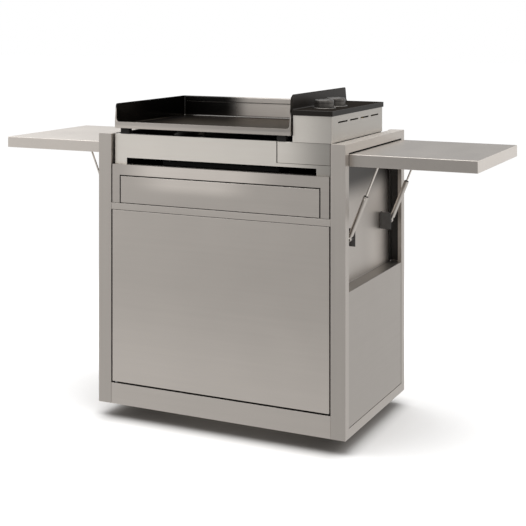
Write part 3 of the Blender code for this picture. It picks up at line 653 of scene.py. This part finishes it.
def door():
    """The door tray with its stiffener, bushes and the pins it turns on."""
    low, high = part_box("door_panel")
    finish_piece(tray("door_sheet", low, high, "+Y", lip=0.011), "steel_front", "door", "door_panel")
    inner = low.y + SHEET + 0.0001
    crown = inner + 0.01
    hat = [(-0.034, inner), (-0.021, inner), (-0.017, crown), (0.017, crown), (0.021, inner), (0.034, inner)]
    stiffener = folded("door_stiffener", hat, "XY", low.z + 0.016, high.z - 0.016, -0.001, 0.0015)
    finish_piece(stiffener, "steel_inner", "door")
    dome = [(0.0, 0.0008), (0.0016, 0.0008), (0.0024, 0.0), (0.0, 0.0)]
    spots = [(x, inner + 0.0006, low.z + 0.05 + 0.055 * i) for i in range(9) for x in (-0.0275, 0.0275)]
    welds = [lathe("weld", dome, spot, BACK, 12) for spot in spots]
    finish_piece(merge("door_stiffener_welds", *welds), "steel_bright", "door")
    door_pin("lower_door_pin", low.z + SHEET)
    door_pin("upper_door_pin", high.z - 0.0045)


def door_pin(node, bush_z):
    """A pin of the door and its bush. The lower pin's shoulder carries the door."""
    low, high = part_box(node)
    x, y = centre(node).xy
    tall, radius = high.z - low.z, 0.003
    if node == "upper_door_pin":
        pin = bar(node + "_turned", (x, y, low.z), (x, y, high.z), radius, 0.0008)
    else:
        step = tall - 0.0103
        profile = [(0.0, tall), (0.0022, tall), (radius, tall - 0.001), (radius, step), (0.005, step),
                   (0.0055, step - 0.0005), (0.0055, 0.0), (0.0, 0.0)]
        pin = lathe(node + "_turned", profile, (x, y, low.z))
    finish_piece(pin, "zinc", nodes=node)
    bush = ring(node + "_bush", (x, y, bush_z), UP, 0.0032, 0.006, 0.003)
    finish_piece(bush, "brass", "door")


def drawer():
    """The drawer front, its box and the slides on either side."""
    front = tray("drawer_front_sheet", *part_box("drawer_front"), "+Y", lip=0.01)
    finish_piece(front, "steel_drawer", "drawer", "drawer_front")
    box = tray("drawer_box_sheet", *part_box("drawer_box"), "+Z", lip=0.004, bend=0.0025)
    finish_piece(box, "steel_inner", "drawer", "drawer_box")
    for side in SIDES:
        low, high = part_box(side + "_drawer_runner")
        middle, half = (low.z + high.z) / 2, 0.0065
        slide = block("slide", (mirrored(side, 0.3266), low.y + 0.002, middle - half),
                      (mirrored(side, 0.33), high.y - 0.002, middle + half), 0.001)
        balls = []
        for i in range(18):
            spot = (mirrored(side, 0.3325), low.y + 0.02 + 0.02 * i, middle + 0.0083 * (-1) ** i)
            work = bmesh.new()
            bmesh.ops.create_icosphere(work, subdivisions=2, radius=0.0021, matrix=Matrix.Translation(spot))
            balls.append(link_mesh("ball", work))
        finish_piece(merge(side + "_drawer_slide", slide, *balls), "steel_bright", "drawer")


def shelf(side):
    """A fold-down shelf tray with its hinge knuckles, straps and the guides that hold the stays."""
    body = side + "_shelf"
    low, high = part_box(body)
    root = max(abs(corner.x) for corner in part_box(side + "_side_frame")) + 0.0005
    out = max(abs(low.x), abs(high.x))
    skin = tray(body + "_sheet", (mirrored(side, root), low.y, low.z), (mirrored(side, out), high.y, high.z),
                "-Z", lip=0.01, bend=0.001)
    cover_node(skin, "steel_shelf_" + side, body)

    x, _, z = JOINT_PLACE[body + "_fold"]
    parts = []
    for y in (low.y + 0.01, high.y - 0.04):
        parts.append(ring("knuckle", (x, y, z), BACK, 0.0023, 0.0044, 0.03, 0.0004))
        parts.append(block("strap", (x + mirrored(side, 0.0015), y + 0.0005, z - 0.004),
                           (mirrored(side, root + 0.0004), y + 0.0295, z + 0.0025), 0.0004))
    # The hinge parts are black, which also keeps the hinge gap dark: partly painted shade.
    finish_piece(merge(body + "_knuckles", *parts), "bracket_black", body)
    rod_low, rod_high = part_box(body + "_hinge_rod")
    rod = bar(side + "_hinge_rod_turned", (x, rod_low.y, z), (x, rod_high.y, z), 0.002, 0.0004)
    finish_piece(rod, "bracket_black", nodes=body + "_hinge_rod")

    under, top, near, far, bend = low.z + 0.014, high.z - SHEET / 2, 0.462, 0.512, 0.008
    outline = [(near, top), (near, under + 0.002)] + arc((near + bend, under), bend, 180, 90)
    outline += arc((far - bend, under), bend, 270, 90) + [(far, top)]
    outline = [(mirrored(side, x), z) for x, z in outline]
    for place in ENDS:
        y = centre(f"{side}_{place}_strut_rod").y
        cheeks = [prism("cheek", outline, "XZ", y + edge, SHEET) for edge in (-0.00975, 0.00975)]
        finish_piece(merge(f"{side}_{place}_stay_guide", *cheeks), "bracket_grey", body)


def strut_bracket(side, name, pin):
    """A stay's bent bracket on the cart, with its stud, collar and clip, and its screws."""
    outward = 1 if pin.y > 0 else -1
    low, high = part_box(name + "bracket")
    plate_y = pin.y - outward * 0.026
    wall, reach = (low.x, high.x) if side == "right" else (high.x, low.x)
    points = [(wall, plate_y + outward * 0.018), (wall, plate_y - outward * 0.001),
              (reach, plate_y - outward * 0.001)]
    gauge = mirrored(side, -0.002 * outward)
    sheet = folded("sheet", points, "XY", low.z, high.z, gauge, 0.002)
    stud = bar("stud", (pin.x, plate_y, pin.z), (pin.x, pin.y + outward * 0.008, pin.z), 0.0025)
    collar = hexagon("collar", (pin.x, plate_y + outward * 0.001, pin.z), (0, outward, 0), 0.01, 0.0185)
    clip = ring("clip", (pin.x, pin.y + outward * 0.0062, pin.z), (0, outward, 0), 0.0023, 0.0042, 0.0012,
                0.0003)
    bracket = merge(name + "bracket_bent", sheet, stud, collar, clip)
    finish_piece(bracket, "bracket_grey", nodes=name + "bracket")
    face, y = wall + mirrored(side, 0.002), plate_y + outward * 0.011
    spots = [(face, y, z) for z in (low.z + 0.01, high.z - 0.01)]
    heads(name + "bracket_screws", spots, (mirrored(side, 1), 0, 0), 0.0034)


def strut(side, place):
    """One telescopic stay: bracket with its stud, tube with its eye and seal, and the bright rod."""
    name = f"{side}_{place}_strut_"
    pin = JOINT_PLACE[name + "swing"]
    head = Vector((mirrored(side, STAY_HEAD_X), pin.y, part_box(name + "rod")[1].z - 0.0032))
    along = (head - pin).normalized()
    strut_bracket(side, name, pin)

    length, neck = 0.14, 0.007
    profile = [(0.0, 0.004), (0.0047, 0.004), (0.0047, 0.0125), (0.0068, 0.013), (TUBE_R, 0.0142),
               (TUBE_R, length - 0.0085), (neck, length - 0.0078), (neck, length - 0.0068),
               (TUBE_R, length - 0.006), (TUBE_R, length - 0.001), (0.0068, length), (0.0035, length),
               (0.0035, 0.016), (0.0, 0.016)]
    barrel = lathe("barrel", profile, pin, along, 32)
    eye = ring("eye", (pin.x, pin.y - 0.0054, pin.z), BACK, 0.0028, 0.0062, 0.0108)
    cover_node(merge(name + "tube_turned", barrel, eye), "steel_tube", name + "tube")
    seal = ring(name + "seal", pin + along * (length - 0.0005), along, 0.0033, 0.0062, 0.0024, 0.0007)
    finish_piece(seal, "foot_black", name + "tube")

    stem = bar("stem", head - along * 0.148, head, ROD_R, 0.0006)
    half = Vector((0, 0.0075, 0))
    cross = bar("pin", head - half, head + half, 0.0032, 0.0008)
    ball = [(0.0, 0.0048), (0.0034, 0.0034), (0.0048, 0.0), (0.0034, -0.0034), (0.0, -0.0048)]
    knob = lathe("ball", ball, head, BACK, 24, 60)
    cover_node(merge(name + "rod_turned", stem, cross, knob), "steel_rod", name + "rod")


def castor(side, place, braked):
    """A swivel castor: pressed fork, axle bolt, tyre, hub, plate bolts and, at the front, a brake pedal."""
    name = f"{side}_{place}_castor_"
    x, king = centre(name + "wheel").x, JOINT_PLACE[name + "swivel"].y
    castor_fork(name, x, king)
    castor_wheel(name)
    floor_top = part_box("base_floor")[1].z
    bolts = [(x + dx, king + dy, floor_top) for dx in (-0.03, 0.03) for dy in (-0.022, 0.022)]
    heads(name + "plate_bolts", bolts, UP, 0.0048, material="zinc", hexed=True)
    if braked:
        brake(name)


def castor_fork(name, x, king):
    """The turned head round the king pin, the pressed legs below it, and the axle bolt."""
    low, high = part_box(name + "fork")
    axle, top, reach = centre(name + "wheel"), high.z, (high.x - low.x) / 2
    steps = ((0.0, 0.0), (0.0235, 0.0), (0.024, 0.0006), (0.024, 0.0044), (0.02, 0.0056),
             (0.02, 0.007), (0.0215, 0.0082), (0.0215, 0.012), (0.015, 0.0165), (0.012, 0.0185),
             (0.0, 0.0185))
    head = lathe("head", [(radius, top - down) for radius, down in steps], (x, king, 0))
    roof = block("roof", (x - 0.0165, king - 0.016, 0.0842), (x + 0.0165, king + 0.028, 0.087), 0.0012, 3)
    leg = [(king - 0.016, 0.0865)] + arc((axle.y, axle.z), 0.0095, 205, 130, 8) + [(king + 0.028, 0.0865)]
    legs = [prism("leg", leg, "YZ", x + edge, 0.002, 0.0006) for edge in (-0.0155, 0.0155)]
    bolt = bar("bolt", (x - 0.017, axle.y, axle.z), (x + 0.017, axle.y, axle.z), 0.004)
    ends = [hexagon("end", (x + turn * 0.0164, axle.y, axle.z), (turn, 0, 0), 0.0105, reach - 0.0166)
            for turn in (-1, 1)]
    cover_node(merge(name + "fork_pressed", head, roof, *legs, bolt, *ends), "zinc", name + "fork")


def castor_wheel(name):
    """The grooved tyre and the hub with its five holes."""
    low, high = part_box(name + "wheel")
    axle, radius, half = centre(name + "wheel"), (high.z - low.z) / 2, (high.x - low.x) / 2
    tread = [(radius - 0.009, -half + 0.003), (radius - 0.006, -half), (radius - 0.0026, -half)]
    tread += shoulder(radius, -half, 0.0026, -0.0026, (30, 60, 90))
    for groove in (-0.0045, 0.0, 0.0045):
        tread += [(radius, groove - 0.0008), (radius - 0.0009, groove - 0.0004),
                  (radius - 0.0009, groove + 0.0004), (radius, groove + 0.0008)]
    tread += [(r, -h) for r, h in tread[5::-1]]
    tyre = lathe(name + "tyre", tread, axle, ACROSS, 64)
    cover_node(tyre, "tyre_rubber", name + "wheel")
    web = [(0.0046, -half + 0.0004), (0.01, -half + 0.0004), (0.0108, -half + 0.004),
           (0.0225, -half + 0.0055), (0.0238, -half + 0.0012), (radius - 0.0088, -half + 0.0012),
           (radius - 0.008, -half + 0.0034)]
    hub = lathe(name + "hub", web + [(r, -h) for r, h in web[::-1]], axle, ACROSS, 64)
    holes = []
    for i in range(5):
        spot = axle + 0.0165 * Vector((0, *cos_sin(72 * i + 18)))
        holes.append(bar("hole", spot - Vector((0.02, 0, 0)), spot + Vector((0.02, 0, 0)), 0.0038))
    finish_piece(carve(hub, *holes), "hub_grey", name + "wheel")


def brake(name):
    """The pedal with its ribs, on two arms round the axle."""
    low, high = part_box(name + "brake")
    axle = centre(name + "wheel")
    x, y, z = axle
    sole = z + 0.0085
    pedal = block("pedal", (low.x, y + 0.0395, sole), (high.x, high.y, sole + 0.0028), 0.001, 3)
    ribs = [bar("rib", (low.x + 0.003, y + out, sole + 0.0026), (high.x - 0.003, y + out, sole + 0.0026),
                0.001, 0.0003, 12) for out in (0.043, 0.0465, 0.05, 0.0535)]
    arm = [(y - 0.0065, z + 0.003)] + arc((y, z), 0.0078, 170, 120, 6)
    arm += [(y + 0.043, z + 0.008), (y + 0.043, z + 0.0105), (y - 0.001, z + 0.0085)]
    arms = [prism("arm", arm, "YZ", x + edge, 0.0015, 0.0004) for edge in (-0.0181, 0.0181)]
    cover_node(merge(name + "brake_pressed", pedal, *ribs, *arms), "bracket_black", name + "brake")


# ---- the griddle

def griddle_plate():
    """The cooking plate: an open-fronted pan with round inner corners, its stepped back and its feet."""
    low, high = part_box("griddle_plate")
    wall, floor_top, lip_top, wall_top, feet_top, above = 0.004, 0.924, 0.936, 0.993, 0.916, 1.3
    front = low.y + 0.0055
    body = block("griddle_plate_formed", (low.x, low.y, feet_top), high, 0.0012, 2)
    well = block("well", (low.x + wall, low.y - 0.05, floor_top), (high.x - wall, high.y - wall, 1.2),
                 0.0045, 5)
    keep_lip = block("lip", (low.x, low.y - 0.06, feet_top), (high.x, front, lip_top + 0.02), 0.0001, 1)
    outline = rounded_rectangle((low.x + wall, lip_top), (high.x - wall, 1.2), 0.01)
    near, far = low.y - 0.02, front + 0.002
    mouth = prism("mouth", outline, "XZ", (near + far) / 2, far - near, 0)
    over = block("over", (low.x - 0.01, low.y - 0.06, wall_top),
                 (high.x - wall - 0.0002, high.y + 0.02, above), 0.0001, 1)
    well = carve(well, keep_lip)
    outline = [(high.y + 0.02, wall_top), (0.17, wall_top), (0.164, wall_top + 0.003),
               (0.155, high.z - 0.006), (0.15, high.z + 0.0001), (0.15, above), (high.y + 0.02, above)]
    tools = [well, mouth, over, prism("rear_drop", outline, "YZ", high.x, 0.02, 0)]
    corner = 0.008
    for x, top in ((low.x, wall_top), (high.x, high.z)):
        slope = 0.006 * (top - lip_top) / (wall_top - lip_top)
        bend = low.y + slope + corner
        outline = [(low.y - 0.02, lip_top), (low.y, lip_top)] + arc((bend, top - corner), corner, 174, -84)
        outline += [(bend, above), (low.y - 0.02, above)]
        tools.append(prism("slope", outline, "YZ", x, 0.03, 0))
    drain = (-0.06, -0.238)
    outlet = [(0.0, 0.03), (0.0155, 0.03), (0.0155, 0.0102), (0.01, 0.005), (0.01, -0.02), (0.0, -0.02)]
    tools.append(lathe("drain", outlet, (*drain, feet_top), UP, 40))
    plate = carve(body, *tools)
    add_bevel(plate, 0.0006, 2, 50)
    cover_node(plate, "plate_polished", "griddle_plate")

    crease, back = 0.975, high.y - wall
    left, right = low.x + wall + 0.007, high.x - wall - 0.002
    step = block("griddle_plate_step", (left, back - 0.0018, crease),
                 (right, back + 0.0018, wall_top - 0.0014), 0.0006, 2)
    finish_piece(step, "plate_polished", "griddle_plate")
    # A dark line along the crease, standing for the fold's shade: painted shade.
    line = block("griddle_plate_crease_shade", (left, back - 0.0016, crease - 0.0016),
                 (right, back + 0.0016, crease), 0.0003, 1)
    finish_piece(line, "bezel_dark", "griddle_plate")

    cuff = ring("griddle_plate_drain_cuff", (*drain, feet_top - 0.01), UP, 0.0095, 0.0112, 0.0108, 0.0004)
    finish_piece(cuff, "burner_steel", "griddle_plate")
    feet = [block("foot", (x - 0.015, y - 0.01, low.z), (x + 0.015, y + 0.01, feet_top + 0.0005),
                  0.0016, 3) for x in (-0.3305, 0.2125) for y in (-0.243, 0.15)]
    finish_piece(merge("griddle_plate_feet", *feet), "foot_black", "griddle_plate")


def burners():
    """The two looped burner tubes with their rows of ports, and the spark plugs."""
    radius, left, right, plug_x = 0.011, -0.27, 0.21, 0.226
    for place in ENDS:
        low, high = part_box(place + "_burner")
        middle, z = (low.y + high.y) / 2, high.z - radius
        span = (high.y - low.y) / 2 - radius
        path = [(high.x, middle - span, z), (left, middle - span, z)]
        path += [(left - span * sin, middle - span * cos, z) for cos, sin in map(cos_sin, range(15, 180, 15))]
        path += [(left, middle + span, z), (right, middle + span, z)]
        near, half = middle - span, 0.0055
        stands = [block("stand", (x - half, near - half, low.z), (x + half, near + half, z), 0.0012)
                  for x in (-0.22, 0.19)]
        tube = merge(place + "_burner_bent", pipe("tube", path, radius), *stands)
        finish_piece(tube, "burner_steel", nodes=place + "_burner")
        spots = [(-0.25 + 0.0215 * i, middle + row * span, high.z - 0.0006)
                 for i in range(22) for row in (-1, 1)]
        ports = [ring("port", spot, UP, 0.0009, 0.0021, 0.001, 0.0002, 12) for spot in spots]
        finish_piece(merge(place + "_burner_ports", *ports), "foot_black")
        y = middle - 0.03
        plug = [bar("ceramic", (plug_x, y, z - 0.012), (plug_x, y, z + 0.004), 0.0034),
                bar("needle", (plug_x, y, z), (plug_x, y - 0.012, z + 0.0085), 0.0009, 0.0002, 12)]
        finish_piece(merge(place + "_spark_plug", *plug), "ceramic")


def grease_tray():
    """The catch tray that slides under the plate's drain."""
    pressed = tray("grease_tray_pressed", *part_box("grease_tray"), "+Z", 0.003, 0.003, 0.0012)
    # Near perfect black, standing for the shade in the slot under the plate: painted shade.
    cover_node(pressed, "shade_black", "grease_tray")


# ---- the control side

def control_box():
    """The vented box with the hole for its gas inlet."""
    low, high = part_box("control_box")
    shell = casing("control_box_sheet", (low.x - 0.003, low.y, low.z), high, 0.004, roof=False)
    cuts = []
    for start, end in ((-0.204, -0.128), (-0.108, -0.038), (-0.018, 0.052), (0.072, 0.142)):
        cuts.append(block("slot", (high.x - 0.01, start, 0.9532), (high.x + 0.01, end, 0.9577), 0.002, 4))
    x = centre("gas_manifold").x
    cuts.append(bar("inlet", (x, high.y - 0.01, GAS_Z), (x, high.y + 0.01, GAS_Z), 0.0095))
    finish_piece(carve(shell, *cuts), "steel_box", nodes="control_box")


def control_cover():
    """The black cover with its splash guard, and the fascia before the box."""
    low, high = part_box("control_cover")
    top, gauge = low.z + 0.0157, 0.0021
    cover = casing("cover", (low.x, low.y, low.z), (high.x, high.y, top), 0.005, bend=0.0016)
    holes = []
    for place in ENDS:
        x, y, _ = centre(place + "_valve_spindle")
        holes.append(bar("hole", (x, y, top - 0.01), (x, y, top + 0.01), 0.0085))
    cover = carve(cover, *holes)
    outline = [(low.y + 0.004, top - 0.01), (high.y - 0.004, top - 0.01), (high.y - 0.002, top)]
    outline += arc((high.y, top + 0.01), 0.01, 262, -72, 8)
    outline += arc((high.y - 0.024, high.z - 0.008), 0.008, 5, 85)
    outline += arc((low.y + 0.01, high.z - 0.009), 0.009, 90, 85)
    outline += [(low.y + 0.0005, top + 0.002)]
    guard = prism("guard", outline, "YZ", low.x + 0.0011, 0.002, 0.0008, 3)
    bend, sunk = 0.0035, top - 0.0008
    outline = [(low.x + gauge, top + bend)] + arc((low.x + gauge + bend, top + bend), bend, 180, 90)
    outline += [(low.x + gauge + bend, sunk), (low.x + 0.0012, sunk), (low.x + 0.0012, top + bend)]
    fillet = prism("fillet", outline, "XZ", (low.y + high.y) / 2, high.y - low.y - 0.012, 0)
    finish_piece(merge("control_cover_bent", cover, guard, fillet), "enamel_black", nodes="control_cover")
    fascia = tray("control_fascia_sheet", *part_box("control_fascia"), "+Y")
    finish_piece(fascia, "steel_fascia", nodes="control_fascia")


def controls():
    """Bezels, knobs and their pointers."""
    for place in ENDS:
        low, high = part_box(place + "_knob_bezel")
        x, y, _ = centre(place + "_knob_bezel")
        outer, inner, tall = (high.x - low.x) / 2, 0.0308, high.z - low.z
        rim = [(inner, 0.0), (inner, tall - 0.0004), (inner + 0.0004, tall), (outer - 0.0034, tall)]
        rim += shoulder(outer, tall, 0.0034, 0.0024, (25, 50, 75, 90)) + [(outer, 0.0)]
        bezel = lathe(place + "_bezel_turned", rim, (x, y, low.z), segments=72)
        finish_piece(bezel, "bezel_dark", nodes=place + "_knob_bezel")

        low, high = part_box(place + "_knob")
        radius, tall, bore, groove = (high.x - low.x) / 2, high.z - low.z, 0.0043, 0.0007
        roof, rim = tall - 0.0015, tall - 0.0008
        profile = [(0.0, rim), (radius - 0.0075, rim), (radius - 0.0066, tall)]
        profile += shoulder(radius, tall, 0.0042, 0.0042, (0, 20, 40, 60, 80, 90))
        profile += [(radius, tall * 0.58), (radius - groove, tall * 0.56), (radius - groove, tall * 0.53),
                    (radius, tall * 0.51), (radius, 0.0012), (radius - 0.001, 0.0), (bore, 0.0),
                    (bore, roof), (0.0, roof)]
        knob = lathe(place + "_knob_turned", profile, (x, y, low.z), segments=96)
        cover_node(knob, "knob_black", place + "_knob")
        mark = block(place + "_knob_pointer", (x - 0.0009, y + radius - 0.015, high.z - 0.001),
                     (x + 0.0009, y + radius - 0.008, high.z - 0.0004), 0.0002)
        finish_piece(mark, "mark_grey", place + "_knob")


def gas_line():
    """The gas pipe under the cover with its valve bodies, nuts and the inlet union at the rear."""
    low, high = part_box("gas_manifold")
    x, z, rear = centre("gas_manifold").x, GAS_Z, high.y
    parts = [bar("pipe", (x, low.y, z), (x, rear - 0.004, z), 0.008, 0.001),
             ring("inlet", (x, rear - 0.01, z), BACK, 0.0045, 0.007, 0.01, 0.0006)]
    parts += [hexagon("nut", (x, y, z), BACK, 0.0185, 0.007)
              for y in (low.y + 0.004, rear - 0.028, rear - 0.014)]
    parts += [ring("thread", (x, rear - 0.0065 + 0.0015 * i, z), BACK, 0.0045, 0.0074, 0.0008, 0.0003)
              for i in range(4)]
    valve_low, valve_top = z - 0.012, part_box("control_box")[1].z - 0.002
    for place in ENDS:
        y = centre(place + "_valve_spindle").y
        parts.append(ring("valve", (x, y, valve_low), UP, 0.0043, 0.013, valve_top - valve_low, 0.0016))
        parts.append(hexagon("bonnet", (x, y, z + 0.0165), UP, 0.0215, 0.006))
        parts.append(bar("jet", (x - 0.01, y, z), (x - 0.026, y, z), 0.0042, 0.0008))
    finish_piece(merge("gas_manifold_turned", *parts), "brass", nodes="gas_manifold")
    for place in ENDS:
        low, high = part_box(place + "_valve_spindle")
        x, y, _ = centre(place + "_valve_spindle")
        stem = bar(place + "_spindle_turned", (x, y, low.z), (x, y, high.z), 0.004, 0.0007)
        cover_node(stem, "zinc", place + "_valve_spindle")


# ---- stage

CAMERA_PLACE = (1.654, -3.409, 1.256)
CAMERA_HEADING = 25.45
CAMERA_LENS = 80.3
CAMERA_SHIFT = -0.4616
CAMERA_SIDE_SHIFT = 0.0006


def make_camera():
    data = bpy.data.cameras.new("camera")
    data.lens = CAMERA_LENS
    data.sensor_width = 36.0
    data.shift_x = CAMERA_SIDE_SHIFT
    camera = linked("camera", data)
    camera.location = CAMERA_PLACE
    camera.rotation_euler = (math.radians(90), 0.0, math.radians(CAMERA_HEADING))
    bpy.context.scene.camera = camera
    # The lens shift belongs to this one standpoint: a camera moved elsewhere looks straight ahead.
    shift = data.driver_add("shift_y").driver
    height = shift.variables.new()
    height.name = "height"
    height.type = "TRANSFORMS"
    height.targets[0].id = camera
    height.targets[0].transform_type = "LOC_Z"
    shift.expression = f"{CAMERA_SHIFT} if abs(height - {CAMERA_PLACE[2]}) < 0.0005 else 0.0"


WHITE = (1.0, 1.0, 1.0)
SKY = ((0.0, 0.74), (0.42, 0.66), (0.47, 0.6), (0.56, 0.95), (1.0, 1.15))
STUDIO_PATCHES = (
    # heading from -Y towards -X and height of a patch's middle, its inner and outer radius, all in degrees,
    # and its share of the light round it
    (-2.0, -4.0, 8.0, 42.0, 0.35),
    (163.0, 6.0, 6.0, 26.0, 0.45),
    (200.0, 2.0, 5.0, 22.0, 0.85),
    (193.0, -5.0, 4.0, 12.0, 1.5),
    (-65.0, 0.0, 10.0, 34.0, 0.55),
)


def facing(heading, height):
    """The direction of a compass heading, from -Y towards -X, and a height above the horizon."""
    (ahead, aside), (level, up) = cos_sin(heading), cos_sin(height)
    return -aside * level, -ahead * level, up


def make_world():
    world = bpy.data.worlds.new("studio")
    bpy.context.scene.world = world
    world.use_nodes = True
    graph = Graph(world.node_tree)
    background = world.node_tree.nodes["Background"]
    direction = graph.node("TexCoord").outputs["Generated"]
    sky = [(height, (level,) * 3) for height, level in SKY]
    light = graph.ramp(graph.math("MULTIPLY_ADD", graph.part(direction, "Z"), 0.5, 0.5), sky)
    for heading, height, inner, outer, share in STUDIO_PATCHES:
        off = graph.vector("DOT_PRODUCT", direction, facing(heading, height))["Value"]
        stops = [(cos_sin(outer)[0], WHITE), (cos_sin(inner)[0], (share,) * 3)]
        light = graph.scaled(light, graph.ramp(off, stops))
    paths = graph.node("LightPath")
    light = graph.mix(paths.outputs["Is Diffuse Ray"], light, (0.28, 0.28, 0.28))
    graph.fill(background, Color=graph.mix(paths.outputs["Is Camera Ray"], light, WHITE), Strength=1.0)


def make_floor():
    """The pale floor: white far off, with a painted shadow under the cart."""
    work = bmesh.new()
    bmesh.ops.create_grid(work, x_segments=1, y_segments=1, size=30.0)
    floor = link_mesh("floor", work, smooth=False)
    graph, shader, place = new_material("floor_pale")
    cloud = graph.noise(place, 0.6, 2.0)
    far = graph.map(graph.vector("LENGTH", place)["Value"], 0.0, 1.0, 1.1, 2.4)
    pale = graph.mix(cloud, (0.9, 0.9, 0.9), (0.93, 0.93, 0.93))
    # A painted contact shadow under the cart's footprint.
    off = graph.vector("ABSOLUTE", place)["Vector"]
    under = graph.math("MULTIPLY", graph.along(off, "X", 0.46, 0.36), graph.along(off, "Y", 0.34, 0.22))
    pale = graph.mix(under, pale, graph.scaled(pale, (0.35, 0.34, 0.33)))
    graph.fill(shader, Base_Color=graph.mix(far, pale, (0.0, 0.0, 0.0)), Emission_Color=WHITE,
               Emission_Strength=far, Roughness=0.9, Specular_IOR_Level=0.1)
    floor.data.materials.append(MATERIALS["floor_pale"])
    floor.visible_glossy = False


def area_light(name, place, target, size, power):
    data = bpy.data.lights.new(name, "AREA")
    data.shape = "RECTANGLE"
    data.size, data.size_y = size
    data.energy = power
    light = linked(name, data)
    light.location = place
    light.rotation_mode = "QUATERNION"
    light.rotation_quaternion = (Vector(target) - Vector(place)).to_track_quat("-Z", "Y")


def make_lights():
    area_light("top_light", (0.0, -0.5, 5.0), (0.0, 0.0, 0.0), (6.0, 6.0), 480.0)
    area_light("left_light", (-4.0, -2.0, 3.0), (0.0, 0.0, 0.6), (3.0, 3.0), 35.0)
    area_light("right_light", (4.0, 1.5, 3.0), (0.0, 0.0, 0.6), (3.0, 3.0), 32.0)


# ---- CAD nodes that keep their own shape

# The griddle chassis is near perfect black, standing for the shade under the plate: painted shade.
CAD_FINISH = {
    "left_side_frame": "steel_post", "right_side_frame": "steel_post", "front_frame": "steel_frame",
    "main_fascia": "steel_fascia", "griddle_chassis": "shade_black", "left_drawer_runner": "zinc",
    "right_drawer_runner": "zinc", "magnet_catch": "zinc",
}


def finish_cad_nodes():
    for name, material in CAD_FINISH.items():
        node = frame["nodes"][name]
        node.data.materials.clear()
        node.data.materials.append(MATERIALS[material])
        add_bevel(node, 0.0006, 2, 30)
        even_shading(node)


def main():
    bpy.context.scene.view_settings.view_transform = "Standard"
    make_materials()
    make_world()
    make_floor()
    make_lights()
    make_camera()
    cart_sheets()
    rear_panel()
    magnet_catch()
    door()
    drawer()
    for side in SIDES:
        side_panel(side)
        shelf(side)
        for place in ENDS:
            strut(side, place)
            castor(side, place, place == "front")
    griddle_plate()
    burners()
    grease_tray()
    control_box()
    control_cover()
    controls()
    gas_line()
    finish_cad_nodes()


main()
